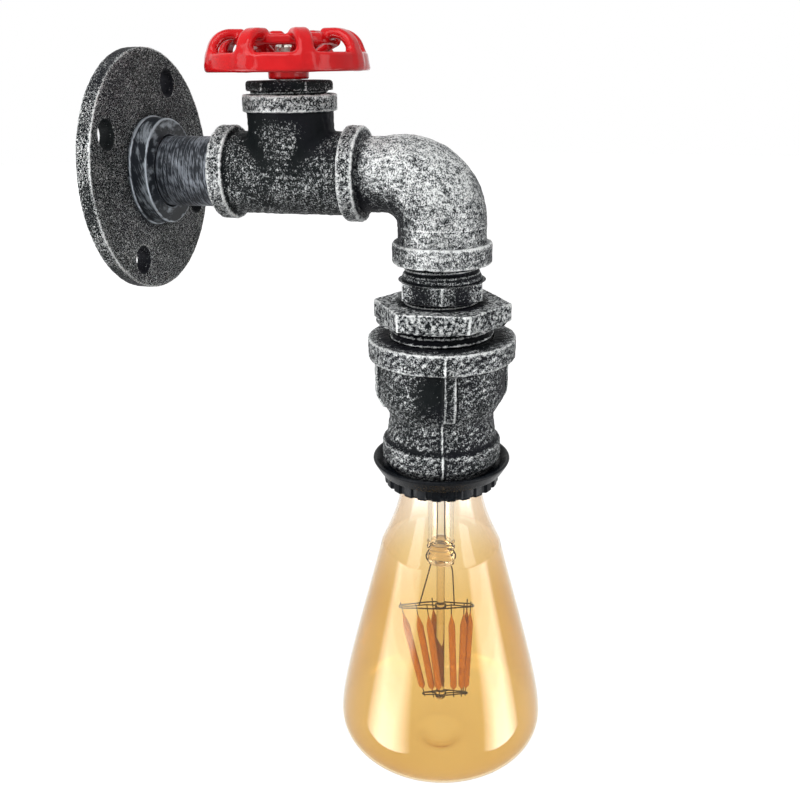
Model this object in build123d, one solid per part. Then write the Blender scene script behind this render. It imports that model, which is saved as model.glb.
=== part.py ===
# Industrial pipe wall light: iron pipe fittings from a wall flange, through a tee that carries a red
# handwheel, round a street elbow and down to a screw lampholder with a filament lamp.
#
# Frame, in millimetres: the origin is the centre of the wall flange's back face. The wall is the plane
# y = 0, the arm stands out along -Y, and +Z is up. "Out" is the distance from the wall. A bearing is an
# angle about +Z, from +X towards +Y.

import os
from math import cos, radians, sin, tan

from build123d import *

os.makedirs("parts", exist_ok=True)

# ---------------------------------------------------------------- driving dimensions: flange and nipple
flange_diameter = 76.0
flange_thickness = 4.7
flange_rounding = 0.4
hub_base_diameter = 34.8
hub_front_diameter = 33.0
hub_height = 5.8
hub_rounding = 0.5
screw_circle_diameter = 60.0
screw_count = 4
screw_hole_diameter = 7.0
countersink_diameter = 9.4
first_screw_angle = 64.0            # from +X towards +Z

pipe_diameter = 22.0                # the wall nipple between its two threads
pipe_bore = 15.6
arm_thread_diameter = 21.6          # crests of the threads along the arm
nipple_shown = 18.9                 # flange hub to tee
nipple_back_gap = 1.5               # wall to the nipple's inner end
nipple_thread_entry = 11.0          # how far it goes into the tee

# ---------------------------------------------------------------- driving dimensions: threads in general
thread_fit = 0.1                    # radial gap between a male thread's crests and its fitting
thread_pitch = 1.8
thread_depth = 0.9
thread_crest_share = 0.1            # flat top of a ridge, as a share of its pitch
thread_end_gap = 1.0                # a tapped hole goes this much deeper than its thread
casting_rounding = 0.9

# ---------------------------------------------------------------- driving dimensions: tee and bonnet
bead_diameter = 29.0                # reinforcing band at the mouths of the tee
tee_length = 46.9
tee_bead_width = 5.0
tee_body_diameter = 25.4
tee_bore = 17.6
branch_body_diameter = 26.8
branch_height = 23.7                # arm axis to the branch's mouth
branch_bead_width = 5.1
branch_thread_diameter = 24.0

bonnet_across_flats = 23.5
bonnet_turn = 12.3                  # bearing of one flat
bonnet_gap = 1.1                    # thread left showing under the hexagon
bonnet_thread_entry = 10.5
bonnet_head_height = 2.9

# ---------------------------------------------------------------- driving dimensions: spindle and wheel
spindle_diameter = 8.0
running_clearance = 0.08            # radial, spindle in bonnet
spindle_square = 5.6                # drive square in the handwheel
square_clearance = 0.06
spindle_tail = 3.4                  # below the bonnet
seal_cord = 2.0                     # thickness of the sealing ring
seal_gap = 0.1
seal_depth = 5.0                    # bonnet's top to the middle of the sealing ring
clip_thickness = 0.8
clip_diameter = 12.5
clip_mouth = 4.0
clip_groove_depth = 1.0
clip_play = 0.2

wheel_clearance = 0.3               # bonnet to the wheel's hub
wheel_diameter = 50.4
wheel_hub_diameter = 12.4
wheel_hub_height = 7.4
skirt_start = 2.2                   # hub's lower face up to the skirt
skirt_height = 5.2
skirt_wall = 2.6
skirt_draft = 0.4
lobe_count = 8
lobe_turn = 34.1                    # bearing of one lobe
lobe_width = 5.2
lobe_wall = 2.8
lobe_arch_radius = 7.2
inner_ring_diameter = 31.0
inner_ring_wall = 2.4
inner_ring_height = 2.2
inner_ring_drop = 1.6               # lobes' crown down to the inner ring's top
spoke_count = 4
spoke_width = 4.6
spoke_height = 3.0

washer_diameter = 9.6
washer_thickness = 0.6
wheel_screw_diameter = 4.0
wheel_screw_length = 8.0
wheel_screw_head_diameter = 7.4
wheel_screw_head_height = 1.9
wheel_screw_slot_width = 1.0
wheel_screw_slot_depth = 0.9
screw_clearance = 0.05

# ---------------------------------------------------------------- driving dimensions: street elbow
elbow_entry = 10.5                  # how far its male thread goes into the tee
elbow_pivot_out = 7.15              # tee's mouth to the centre that the bend turns about
elbow_inner_radius = 3.7
elbow_section_diameters = (22.9, 25.0, 26.8, 27.6, 27.6)    # along the bend, from the arm down
elbow_bore = 14.8
elbow_drop = 26.4                   # arm axis down to the elbow's lower mouth
elbow_bead_diameter = 31.2
elbow_bead_width = 6.5
elbow_bead_chamfer = 1.6
elbow_thread_entry = 10.0

# ---------------------------------------------------------------- driving dimensions: nipple and bushing
drop_thread_diameter = 24.0
drop_nipple_bore = 16.0
drop_thread_shown = 5.3             # elbow to the hexagon
runout_diameter = 26.0
runout_length = 2.4
drop_hex_across_flats = 25.0
drop_hex_turn = 42.1                # bearing of one flat
drop_hex_height = 5.6
drop_hex_gap = 1.6                  # hexagon to the bushing's plate
drop_thread_entry = 9.0             # into the bushing

bushing_across_flats = 38.6
bushing_turn = 4.0                  # bearing of one flat
bushing_plate_height = 5.7
bushing_thread_diameter = 33.2
bushing_thread_pitch = 2.3
bushing_thread_depth = 1.1
bushing_thread_shown = 5.4
bushing_thread_entry = 8.6
hex_corner_cut = 0.5                # how far a hexagon's corners are turned down, and over what height

# ---------------------------------------------------------------- driving dimensions: reducing coupling
coupling_rim_diameter = 47.6
coupling_rim_height = 7.8
coupling_rim_taper = 3.6            # lower part of the rim, which slopes in to the barrel
coupling_barrel_diameter = 41.2
coupling_barrel_end = 18.8          # coupling's top to the start of the taper
coupling_neck_diameter = 34.3
coupling_neck_start = 25.4
coupling_neck_end = 33.4
coupling_blend_radius = 5.0         # between the barrel, the taper and the neck
coupling_bead_diameter = 39.2
coupling_bead_start = 36.2
coupling_bead_taper = 3.4
coupling_foot_diameter = 35.4
coupling_length = 43.7
coupling_tapping = 13.0             # depth of the upper thread
coupling_cavity_diameter = 35.6
coupling_cavity_end = 16.6
coupling_seat_length = 22.2         # the lower bore that holds the lampholder
coupling_rib_count = 4
coupling_rib_turn = 19.6            # bearing of one rib
coupling_rib_width = 3.2
coupling_rib_height = 1.1

# ---------------------------------------------------------------- driving dimensions: lampholder
holder_spigot_diameter = 31.0
holder_spigot_length = 20.0
holder_shoulder_gap = 0.2           # coupling's foot to the holder's shoulder
holder_skirt_diameter = 34.4
holder_skirt_length = 6.7
holder_thread_pitch = 1.5
holder_thread_depth = 0.6
holder_floor_height = 26.5          # skirt's lower end up to the floor
holder_floor_thickness = 2.6
holder_head_diameter = 28.0
holder_head_height = 6.0            # floor to the cap
holder_head_wall = 1.5
holder_cap_height = 2.9
holder_cap_plug = 1.2
holder_cap_gap = 0.1
wire_hole_diameter = 7.0

shell_wall = 0.5
shell_length = 20.0
shell_inset = 0.5                   # skirt's lower end up to the shell's rim
shell_gap = 0.1
contact_width = 5.0
contact_thickness = 0.6
contact_length = 15.0
contact_reach = 1.6                 # floor down to the contact's nose
contact_nose_length = 5.0
contact_pad_length = 3.6            # the part riveted to the floor
contact_rivet_diameter = 2.4
terminal_spacing = 11.0
terminal_length = 6.0
terminal_width = 5.0
terminal_height = 3.4
terminal_screw_diameter = 2.5
terminal_screw_head_diameter = 3.8
terminal_screw_head_height = 1.0

ring_fit = 0.25                     # radial, rings on the skirt's thread
ring_gap = 0.3                      # coupling's foot to the shade ring
shade_ring_diameter = 45.8
shade_ring_height = 4.45
shade_ring_floor = 2.2              # depth of the dish
shade_ring_lip = 0.9
shade_ring_foot_diameter = 41.2
ring_nut_gap = 0.15
ring_nut_wall = 2.0                 # skirt's crests out to the nut's teeth
ring_nut_height = 4.2
ring_nut_teeth = 24
ring_nut_notch_depth = 0.8
ring_nut_notch_width = 1.9

# ---------------------------------------------------------------- driving dimensions: lamp
lamp_cap_diameter = 26.4
lamp_cap_fit = 0.2                  # radial, lamp cap in the screw shell
lamp_cap_length = 20.0
lamp_cap_pitch = 3.6
lamp_cap_thread_depth = 1.0
lamp_cap_thread_length = 15.8
lamp_cap_wall = 0.4
lamp_cap_flare = 28.0
lamp_cap_corner = 1.0
lamp_cap_thread_rounding = 0.8
lamp_insulator_height = 3.2
lamp_insulator_diameter = 19.0
lamp_insulator_shelf = 0.5          # left round the tip
lamp_tip_diameter = 9.0
lamp_tip_height = 2.2
lamp_tip_rounding = 1.0
lamp_contact_gap = 0.15             # lamp's tip to the centre contact
lamp_seal_gap = 0.15

lamp_diameter = 72.8
lamp_wall = 0.9
lamp_collar_diameter = 26.8         # the glass at the lower rim of the cap
lamp_collar_length = 3.6            # glass inside the cap
lamp_mouth_diameter = 22.8          # the glass at its upper end
lamp_neck_diameter = 28.6
lamp_neck_slope = 0.12              # how much the glass widens for its height at the neck
lamp_neck_drop = 3.4                # cap's lower rim to the neck, shoulder, waist, belly and bottom
lamp_shoulder_diameter = 40.4
lamp_shoulder_drop = 21.3
lamp_waist_diameter = 55.0
lamp_waist_drop = 49.5
lamp_belly_drop = 91.5
lamp_bottom_drop = 106.0
lamp_pip_diameter = 16.0            # the drawn tip, where it leaves the bowl
lamp_pip_end_diameter = 6.0
lamp_pip_height = 2.9
lamp_pip_rounding = 1.2

stem_tube_diameter = 9.0
stem_tube_wall = 0.9
stem_flare_height = 4.0
stem_pinch_drop = 26.0              # cap's lower rim to the pinch
stem_pinch_height = 11.0
stem_pinch_thickness = 4.6
stem_rod_diameter = 3.6
stem_rod_drop = 88.0
frame_wire = 1.0
frame_arm_wire = 0.8
frame_arm_count = 4
frame_collar_height = 1.2
upper_frame_drop = 52.0
upper_frame_radius = 13.6
lower_frame_drop = 86.0
lower_frame_radius = 7.6
lead_wire = 0.9
lead_spread = 3.0                   # middle of the pinch to each lead
lead_inset = 2.0                    # upper frame's ring in to the leads' feet
filament_count = 8
filament_diameter = 1.9
filament_turn = 8.0
driver_board_length = 15.0
driver_board_width = 12.0
driver_board_thickness = 1.0
driver_capacitor_diameter = 5.0
driver_capacitor_length = 8.0
driver_capacitor_drop = 2.0         # board's top to the capacitor

# ---------------------------------------------------------------- where everything comes, from these sizes
hub_front = flange_thickness + hub_height
tee_start = hub_front + nipple_shown
tee_end = tee_start + tee_length
branch_out = tee_start + tee_length / 2
elbow_pivot = tee_end + elbow_pivot_out
elbow_pivot_drop = elbow_inner_radius + elbow_section_diameters[0] / 2
elbow_out = elbow_pivot + elbow_inner_radius + elbow_section_diameters[-1] / 2

bonnet_head_base = branch_height + bonnet_gap
bonnet_top = bonnet_head_base + bonnet_head_height
bonnet_bottom = branch_height - bonnet_thread_entry
hub_base = bonnet_top + wheel_clearance
wheel_hub_top = hub_base + wheel_hub_height
skirt_base = hub_base + skirt_start
skirt_top = skirt_base + skirt_height
lobe_crown = skirt_top + lobe_arch_radius - skirt_draft
inner_ring_top = lobe_crown - inner_ring_drop
spindle_bottom = bonnet_bottom - spindle_tail
clip_top = bonnet_bottom - clip_play

elbow_mouth = -elbow_drop
drop_hex_top = elbow_mouth - drop_thread_shown
drop_hex_bottom = drop_hex_top - drop_hex_height
bushing_top = drop_hex_bottom - drop_hex_gap
bushing_plate_bottom = bushing_top - bushing_plate_height
coupling_top = bushing_plate_bottom - bushing_thread_shown
coupling_bottom = coupling_top - coupling_length
bushing_bottom = coupling_top - bushing_thread_entry

holder_shoulder = coupling_bottom - holder_shoulder_gap
holder_bottom = holder_shoulder - holder_skirt_length
holder_floor = holder_bottom + holder_floor_height
holder_floor_top = holder_floor + holder_floor_thickness
holder_head_top = holder_floor_top + holder_head_height
holder_cap_base = holder_head_top + holder_cap_gap

shell_radius = lamp_cap_diameter / 2 + lamp_cap_fit
holder_bore_radius = shell_radius + shell_wall + shell_gap
pocket_radius = holder_head_diameter / 2 - holder_head_wall
contact_nose = holder_floor - contact_reach
contact_rivet_at = (contact_pad_length - contact_length) / 2
ring_bore_radius = holder_skirt_diameter / 2 + ring_fit
ring_nut_diameter = holder_skirt_diameter + 2 * ring_nut_wall
shade_ring_seat = coupling_bottom - ring_gap
shade_ring_bottom = shade_ring_seat + shade_ring_floor - shade_ring_height
ring_nut_top = shade_ring_bottom - ring_nut_gap

lamp_tip_top = contact_nose - lamp_contact_gap
lamp_insulator_top = lamp_tip_top - lamp_tip_height
lamp_cap_top = lamp_insulator_top - lamp_insulator_height
lamp_rim = lamp_cap_top - lamp_cap_length


# ---------------------------------------------------------------- helpers
def outline(corners):
    """Closed face in the XZ plane from (radius, height) or (radius, height, rounding) corners."""
    points = [Vector(corner[0], 0, corner[1]) for corner in corners]
    edges, joins = [], []
    for index, corner in enumerate(corners):
        here = points[index]
        if len(corner) == 2:
            joins.append((here, here))
            continue
        to_last = (points[index - 1] - here).normalized()
        to_next = (points[(index + 1) % len(points)] - here).normalized()
        half_angle = radians(to_last.get_angle(to_next) / 2)
        reach = corner[2] / tan(half_angle)
        middle = here + (to_last + to_next).normalized() * (corner[2] / sin(half_angle) - corner[2])
        start, stop = here + to_last * reach, here + to_next * reach
        edges.append(ThreePointArc(start, middle, stop))
        joins.append((start, stop))
    for index, (start, _) in enumerate(joins):
        last_stop = joins[index - 1][1]
        if (start - last_stop).length > 1e-6:
            edges.append(Line(last_stop, start))
    return make_face(edges)


def turned(corners):
    """Solid of revolution about Z of an outline."""
    return revolve(outline(corners), axis=Axis.Z, revolution_arc=360)


def rod(diameter, low, high):
    """Cylinder about Z between two heights."""
    return Pos(0, 0, low) * Cylinder(diameter / 2, high - low, align=(Align.CENTER, Align.CENTER, Align.MIN))


def threaded(diameter, low, high, pitch=thread_pitch, depth=thread_depth):
    """Male thread about Z, as even V-shaped ridges whose crests reach the diameter."""
    crest = diameter / 2
    ridges = max(1, round((high - low) / pitch))
    step = (high - low) / ridges
    flat = step * thread_crest_share / 2
    corners = [(0, low), (crest - depth, low)]
    for ridge in range(ridges):
        middle = low + (ridge + 0.5) * step
        corners += [(crest, middle - flat), (crest, middle + flat), (crest - depth, middle + step / 2)]
    return turned(corners + [(0, high)])


def hexagon(across_flats, low, high, bearing):
    """Hexagonal bar about Z whose corners are turned down at both ends."""
    corner_radius = across_flats / 2 / cos(radians(30))
    corners = [radians(bearing + 30 + 60 * k) for k in range(6)]
    face = Polygon(*[(corner_radius * cos(a), corner_radius * sin(a)) for a in corners], align=None)
    bar = extrude(Pos(0, 0, low) * face, amount=high - low)
    top_radius = corner_radius - hex_corner_cut
    cone = turned([
        (0, low), (top_radius, low), (corner_radius, low + hex_corner_cut),
        (corner_radius, high - hex_corner_cut), (top_radius, high), (0, high),
    ])
    return bar & cone


def on_arm(shape):
    """Place a shape that was built about Z along the arm: its height becomes the distance out."""
    return Rot(90, 0, 0) * shape


def on_branch(shape):
    return Pos(0, -branch_out, 0) * shape


def on_drop(shape):
    return Pos(0, -elbow_out, 0) * shape


def write(node, shape):
    """Write one node's solids to its STEP file."""
    export_step(Compound(label=node, children=list(shape.solids())), f"parts/{node}.step")


# ---------------------------------------------------------------- wall flange
def wall_flange():
    bore = arm_thread_diameter / 2 + thread_fit
    plate = turned([
        (bore, 0), (flange_diameter / 2, 0), (flange_diameter / 2, flange_thickness, flange_rounding),
        (hub_base_diameter / 2, flange_thickness, hub_rounding),
        (hub_front_diameter / 2, hub_front, hub_rounding), (bore, hub_front),
    ])
    countersink = (countersink_diameter - screw_hole_diameter) / 2
    hole = rod(screw_hole_diameter, -1, flange_thickness + 1) + turned([
        (0, flange_thickness - countersink), (screw_hole_diameter / 2, flange_thickness - countersink),
        (countersink_diameter / 2, flange_thickness), (countersink_diameter / 2, flange_thickness + 1),
        (0, flange_thickness + 1),
    ])
    for k in range(screw_count):
        angle = radians(first_screw_angle + 360 / screw_count * k)
        radius = screw_circle_diameter / 2
        plate -= Pos(radius * cos(angle), radius * sin(angle), 0) * hole
    return on_arm(plate)


def wall_nipple():
    body = threaded(arm_thread_diameter, nipple_back_gap, hub_front)
    body += rod(pipe_diameter, hub_front + thread_fit, tee_start - thread_fit)
    body += rod(arm_thread_diameter - 2 * thread_depth, nipple_back_gap, tee_start)
    body += threaded(arm_thread_diameter, tee_start, tee_start + nipple_thread_entry)
    return on_arm(body - rod(pipe_bore, 0, tee_start + nipple_thread_entry + 1))


# ---------------------------------------------------------------- tee and bonnet
def bead(diameter, low, high):
    """Reinforcing band at the mouth of a casting."""
    return turned([(0, low), (diameter / 2, low, casting_rounding), (diameter / 2, high, casting_rounding),
                   (0, high)])


def tee():
    run = rod(tee_body_diameter, tee_start, tee_end)
    run += bead(bead_diameter, tee_start, tee_start + tee_bead_width)
    run += bead(bead_diameter, tee_end - tee_bead_width, tee_end)
    branch = rod(branch_body_diameter, 0, branch_height)
    branch += bead(bead_diameter, branch_height - branch_bead_width, branch_height)
    body = on_arm(run) + on_branch(branch)
    tapping = arm_thread_diameter + 2 * thread_fit
    body -= on_arm(rod(tee_bore, tee_start - 1, tee_end + 1))
    body -= on_arm(rod(tapping, tee_start - 1, tee_start + nipple_thread_entry + thread_end_gap))
    body -= on_arm(rod(tapping, tee_end - elbow_entry - thread_end_gap, tee_end + 1))
    body -= on_branch(rod(tee_bore, 0, branch_height))
    branch_tapping = branch_thread_diameter + 2 * thread_fit
    body -= on_branch(rod(branch_tapping, bonnet_bottom - thread_end_gap, branch_height + 1))
    return body


def bonnet_plug():
    body = threaded(branch_thread_diameter, bonnet_bottom, bonnet_head_base)
    body += hexagon(bonnet_across_flats, bonnet_head_base, bonnet_top, bonnet_turn)
    body -= rod(spindle_diameter + 2 * running_clearance, bonnet_bottom - 1, bonnet_top + 1)
    seal_middle = bonnet_top - seal_depth
    groove_diameter = spindle_diameter + 2 * seal_cord + 4 * seal_gap
    half = seal_cord / 2 + seal_gap
    body -= rod(groove_diameter, seal_middle - half, seal_middle + half)
    return on_branch(body)


def spindle_seal():
    radius = spindle_diameter / 2 + seal_gap + seal_cord / 2
    return on_branch(Pos(0, 0, bonnet_top - seal_depth) * Torus(radius, seal_cord / 2))


# ---------------------------------------------------------------- spindle and handwheel
def spindle():
    square_height = wheel_hub_height - 2 * square_clearance
    square = Pos(0, 0, hub_base) * Box(spindle_square, spindle_square, square_height,
                                       align=(Align.CENTER, Align.CENTER, Align.MIN))
    body = rod(spindle_diameter, spindle_bottom, hub_base - square_clearance) + Rot(0, 0, lobe_turn) * square
    body += rod(spindle_square, hub_base - 1, hub_base + 1)
    clip_bottom = clip_top - clip_thickness
    groove = rod(spindle_diameter + 1, clip_bottom - screw_clearance, clip_top + screw_clearance)
    body -= groove - rod(spindle_diameter - 2 * clip_groove_depth, clip_bottom - 1, clip_top + 1)
    screw_hole = wheel_screw_diameter + 2 * screw_clearance
    body -= rod(screw_hole, wheel_hub_top + washer_thickness - wheel_screw_length - 1, wheel_hub_top + 1)
    return on_branch(body)


def spindle_clip():
    clip_bottom = clip_top - clip_thickness
    inner = spindle_diameter - 2 * clip_groove_depth + 2 * screw_clearance
    body = rod(clip_diameter, clip_bottom, clip_top) - rod(inner, clip_bottom - 1, clip_top + 1)
    mouth = Box(clip_diameter, clip_mouth, clip_thickness * 3, align=(Align.MIN, Align.CENTER, Align.CENTER))
    return on_branch(body - Pos(0, 0, clip_top) * mouth)


def lobe():
    """One arch of the handwheel, in the XZ plane: up from the skirt and over to the inner ring."""
    outer = wheel_diameter / 2 - skirt_draft
    centre_radius = outer - lobe_arch_radius
    centre_height = lobe_crown - lobe_arch_radius
    inner_arch = lobe_arch_radius - lobe_wall
    tip = inner_ring_diameter / 2 - inner_ring_wall
    foot = skirt_base + skirt_height / 2
    diagonal = lobe_arch_radius * cos(radians(45))
    inner_diagonal = inner_arch * cos(radians(45))
    edges = [
        Line((outer, 0, foot), (outer, 0, centre_height)),
        ThreePointArc((outer, 0, centre_height),
                      (centre_radius + diagonal, 0, centre_height + diagonal),
                      (centre_radius, 0, lobe_crown)),
        Line((centre_radius, 0, lobe_crown), (tip + lobe_wall / 2, 0, lobe_crown)),
        ThreePointArc((tip + lobe_wall / 2, 0, lobe_crown), (tip, 0, lobe_crown - lobe_wall / 2),
                      (tip + lobe_wall / 2, 0, lobe_crown - lobe_wall)),
        Line((tip + lobe_wall / 2, 0, lobe_crown - lobe_wall), (centre_radius, 0, lobe_crown - lobe_wall)),
        ThreePointArc((centre_radius, 0, lobe_crown - lobe_wall),
                      (centre_radius + inner_diagonal, 0, centre_height + inner_diagonal),
                      (centre_radius + inner_arch, 0, centre_height)),
        Line((centre_radius + inner_arch, 0, centre_height), (centre_radius + inner_arch, 0, foot)),
        Line((centre_radius + inner_arch, 0, foot), (outer, 0, foot)),
    ]
    return extrude(make_face(edges), amount=lobe_width / 2, both=True)


def handwheel():
    outer = wheel_diameter / 2
    body = turned([
        (outer - skirt_wall, skirt_base), (outer, skirt_base, casting_rounding),
        (outer - skirt_draft, skirt_top), (outer - skirt_draft - skirt_wall, skirt_top),
    ])
    body += rod(wheel_hub_diameter, hub_base, wheel_hub_top)
    spoke = Pos(0, 0, skirt_base + (skirt_height - spoke_height) / 2) * Box(
        outer - skirt_wall / 2, spoke_width, spoke_height, align=(Align.MIN, Align.CENTER, Align.MIN))
    for k in range(spoke_count):
        body += Rot(0, 0, lobe_turn + 360 / spoke_count * k) * spoke
    body += (rod(inner_ring_diameter, inner_ring_top - inner_ring_height, inner_ring_top)
             - rod(inner_ring_diameter - 2 * inner_ring_wall, skirt_base, lobe_crown))
    arch = lobe()
    for k in range(lobe_count):
        body += Rot(0, 0, lobe_turn + 360 / lobe_count * k) * arch
    side = spindle_square + 2 * square_clearance
    square = Rot(0, 0, lobe_turn) * Pos(0, 0, hub_base - 1) * Box(
        side, side, wheel_hub_height + 2, align=(Align.CENTER, Align.CENTER, Align.MIN))
    return on_branch(body - square)


def wheel_washer():
    hole = wheel_screw_diameter + 4 * screw_clearance
    top = wheel_hub_top + washer_thickness
    return on_branch(rod(washer_diameter, wheel_hub_top, top) - rod(hole, wheel_hub_top - 1, top + 1))


def wheel_screw():
    seat = wheel_hub_top + washer_thickness
    head_top = seat + wheel_screw_head_height
    body = rod(wheel_screw_diameter, seat - wheel_screw_length, seat)
    body += turned([(0, seat), (wheel_screw_head_diameter / 2, seat),
                    (wheel_screw_head_diameter / 2, head_top, wheel_screw_head_height / 2), (0, head_top)])
    slot = Pos(0, 0, head_top - wheel_screw_slot_depth) * Box(
        wheel_screw_head_diameter + 1, wheel_screw_slot_width, wheel_screw_head_height,
        align=(Align.CENTER, Align.CENTER, Align.MIN))
    return on_branch(body - slot)


# ---------------------------------------------------------------- street elbow
def bend_section(angle, diameter):
    """Round section of the bend, in the plane through the pivot at this angle from straight up."""
    distance = elbow_inner_radius + diameter / 2
    centre = (0, -(elbow_pivot + distance * sin(angle)), -elbow_pivot_drop + distance * cos(angle))
    plane = Plane(origin=centre, x_dir=(1, 0, 0), z_dir=(0, -cos(angle), -sin(angle)))
    return plane * Circle(diameter / 2)


def street_elbow():
    steps = len(elbow_section_diameters) - 1
    sections = [bend_section(radians(90 * k / steps), d) for k, d in enumerate(elbow_section_diameters)]
    body = loft(sections)
    male_end = tee_end - elbow_entry
    body += on_arm(rod(elbow_section_diameters[0], tee_end + thread_fit, elbow_pivot))
    body += on_arm(threaded(arm_thread_diameter, male_end, tee_end + thread_fit))
    bead_top = elbow_mouth + elbow_bead_width
    leg = rod(elbow_section_diameters[-1], elbow_mouth + 1, -elbow_pivot_drop)
    leg += turned([
        (0, bead_top), (elbow_bead_diameter / 2, bead_top, casting_rounding),
        (elbow_bead_diameter / 2, elbow_mouth + elbow_bead_chamfer),
        (elbow_bead_diameter / 2 - elbow_bead_chamfer, elbow_mouth), (0, elbow_mouth),
    ])
    body += on_drop(leg)
    body -= on_arm(rod(elbow_bore, male_end - 1, elbow_out))
    body -= on_drop(Sphere(elbow_bore / 2) + rod(elbow_bore, elbow_mouth - 1, 0))
    tapping = drop_thread_diameter + 2 * thread_fit
    return body - on_drop(rod(tapping, elbow_mouth - 1, elbow_mouth + elbow_thread_entry + thread_end_gap))


# ---------------------------------------------------------------- hex nipple, bushing and coupling
def hex_nipple():
    runout_start = drop_hex_top + runout_length
    top = elbow_mouth + elbow_thread_entry
    body = threaded(drop_thread_diameter, runout_start, top)
    body += turned([
        (0, drop_hex_top), (runout_diameter / 2 - thread_depth, drop_hex_top),
        (runout_diameter / 2, drop_hex_top + runout_length / 3),
        (runout_diameter / 2 - thread_depth, drop_hex_top + runout_length * 2 / 3),
        (drop_thread_diameter / 2 - thread_depth, runout_start), (0, runout_start),
    ])
    body += hexagon(drop_hex_across_flats, drop_hex_bottom, drop_hex_top, drop_hex_turn)
    bottom = bushing_top - drop_thread_entry
    body += threaded(drop_thread_diameter, bottom, drop_hex_bottom)
    return on_drop(body - rod(drop_nipple_bore, bottom - 1, top + 1))


def hex_bushing():
    body = hexagon(bushing_across_flats, bushing_plate_bottom, bushing_top, bushing_turn)
    body += threaded(bushing_thread_diameter, bushing_bottom, bushing_plate_bottom, bushing_thread_pitch,
                     bushing_thread_depth)
    return on_drop(body - rod(drop_thread_diameter + 2 * thread_fit, bushing_bottom - 1, bushing_top + 1))


def coupling_side(outset=0.0):
    """Outer side of the coupling between its rim and bead, from the top down, moved out by the outset."""
    barrel = coupling_barrel_diameter / 2 + outset
    neck = coupling_neck_diameter / 2 + outset
    return [
        (barrel, coupling_top - coupling_rim_height),
        (barrel, coupling_top - coupling_barrel_end, coupling_blend_radius),
        (neck, coupling_top - coupling_neck_start, coupling_blend_radius),
        (neck, coupling_top - coupling_neck_end),
    ]


def reducing_coupling():
    rim = coupling_rim_diameter / 2
    seat = holder_spigot_diameter / 2 + thread_fit
    tapping = bushing_thread_diameter / 2 + thread_fit
    cavity = coupling_cavity_diameter / 2
    foot = coupling_foot_diameter / 2
    mouth = coupling_bead_diameter / 2
    body = turned([
        (tapping, coupling_top), (rim, coupling_top, casting_rounding),
        (rim, coupling_top - coupling_rim_height + coupling_rim_taper),
        *coupling_side(),
        (mouth, coupling_top - coupling_bead_start, casting_rounding),
        (mouth, coupling_bottom + coupling_bead_taper), (foot, coupling_bottom), (seat, coupling_bottom),
        (seat, coupling_bottom + coupling_seat_length), (cavity, coupling_top - coupling_cavity_end),
        (cavity, coupling_top - coupling_tapping), (tapping, coupling_top - coupling_tapping),
    ])
    ribs = turned(coupling_side(coupling_rib_height) + coupling_side(-coupling_rib_height)[::-1])
    slab = Pos(0, 0, coupling_top) * Box(rim, coupling_rib_width, coupling_neck_start,
                                         align=(Align.MIN, Align.CENTER, Align.MAX))
    for k in range(coupling_rib_count):
        body += ribs & (Rot(0, 0, coupling_rib_turn + 360 / coupling_rib_count * k) * slab)
    return on_drop(body)


# ---------------------------------------------------------------- lampholder
def lampholder_body():
    spigot_top = holder_shoulder + holder_spigot_length
    body = threaded(holder_spigot_diameter, holder_shoulder, spigot_top)
    body += rod(holder_spigot_diameter - 2 * thread_depth, holder_bottom, spigot_top)
    body += threaded(holder_skirt_diameter, holder_bottom, holder_shoulder, holder_thread_pitch,
                     holder_thread_depth)
    body += rod(holder_head_diameter, holder_floor - 1, holder_head_top)
    body -= rod(2 * holder_bore_radius, holder_bottom - 1, holder_floor)
    body -= rod(2 * pocket_radius, holder_floor_top, holder_head_top + 1)
    rivet_hole = rod(contact_rivet_diameter + 2 * screw_clearance, holder_floor - 1, holder_floor_top + 1)
    return on_drop(body - Pos(contact_rivet_at, 0, 0) * rivet_hole)


def lampholder_cap():
    radius = holder_head_diameter / 2
    plug = pocket_radius - holder_cap_gap
    hole = wire_hole_diameter / 2
    top = holder_cap_base + holder_cap_height
    body = turned([
        (hole, holder_cap_base - holder_cap_plug), (plug, holder_cap_base - holder_cap_plug),
        (plug, holder_cap_base), (radius, holder_cap_base), (radius, top, casting_rounding), (hole, top),
    ])
    return on_drop(body)


def screw_shell():
    low = holder_bottom + shell_inset
    outer = shell_radius + shell_wall
    return on_drop(turned([
        (shell_radius, low), (outer, low), (outer, low + shell_length), (shell_radius, low + shell_length),
    ]))


def centre_contact():
    """Bent strip under the holder's floor, riveted through it."""
    half = contact_length / 2
    nose = contact_nose_length / 2
    low = contact_nose
    strip = [
        (-half, holder_floor), (-half, holder_floor - contact_thickness),
        (-half + contact_pad_length, holder_floor - contact_thickness), (-nose, low),
        (nose, low), (nose, low + contact_thickness), (-nose, low + contact_thickness),
        (-half + contact_pad_length, holder_floor),
    ]
    body = extrude(outline(strip), amount=contact_width / 2, both=True)
    rivet = rod(contact_rivet_diameter, holder_floor - contact_thickness / 2, holder_floor_top)
    return on_drop(body + Pos(contact_rivet_at, 0, 0) * rivet)


def terminals():
    """Two brass terminal blocks on the holder's floor."""
    block = Pos(0, 0, holder_floor_top) * Box(terminal_length, terminal_width, terminal_height,
                                              align=(Align.CENTER, Align.CENTER, Align.MIN))
    hole = rod(terminal_screw_diameter + 2 * screw_clearance, holder_floor_top + 1,
               holder_floor_top + terminal_height + 1)
    pair = [Pos(0, side * terminal_spacing / 2, 0) * (block - hole) for side in (-1, 1)]
    return on_drop(Compound(children=pair))


def terminal_screws():
    seat = holder_floor_top + terminal_height
    screw = rod(terminal_screw_diameter, holder_floor_top + 1 + screw_clearance, seat)
    screw += rod(terminal_screw_head_diameter, seat, seat + terminal_screw_head_height)
    pair = [Pos(0, side * terminal_spacing / 2, 0) * screw for side in (-1, 1)]
    return on_drop(Compound(children=pair))


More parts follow.
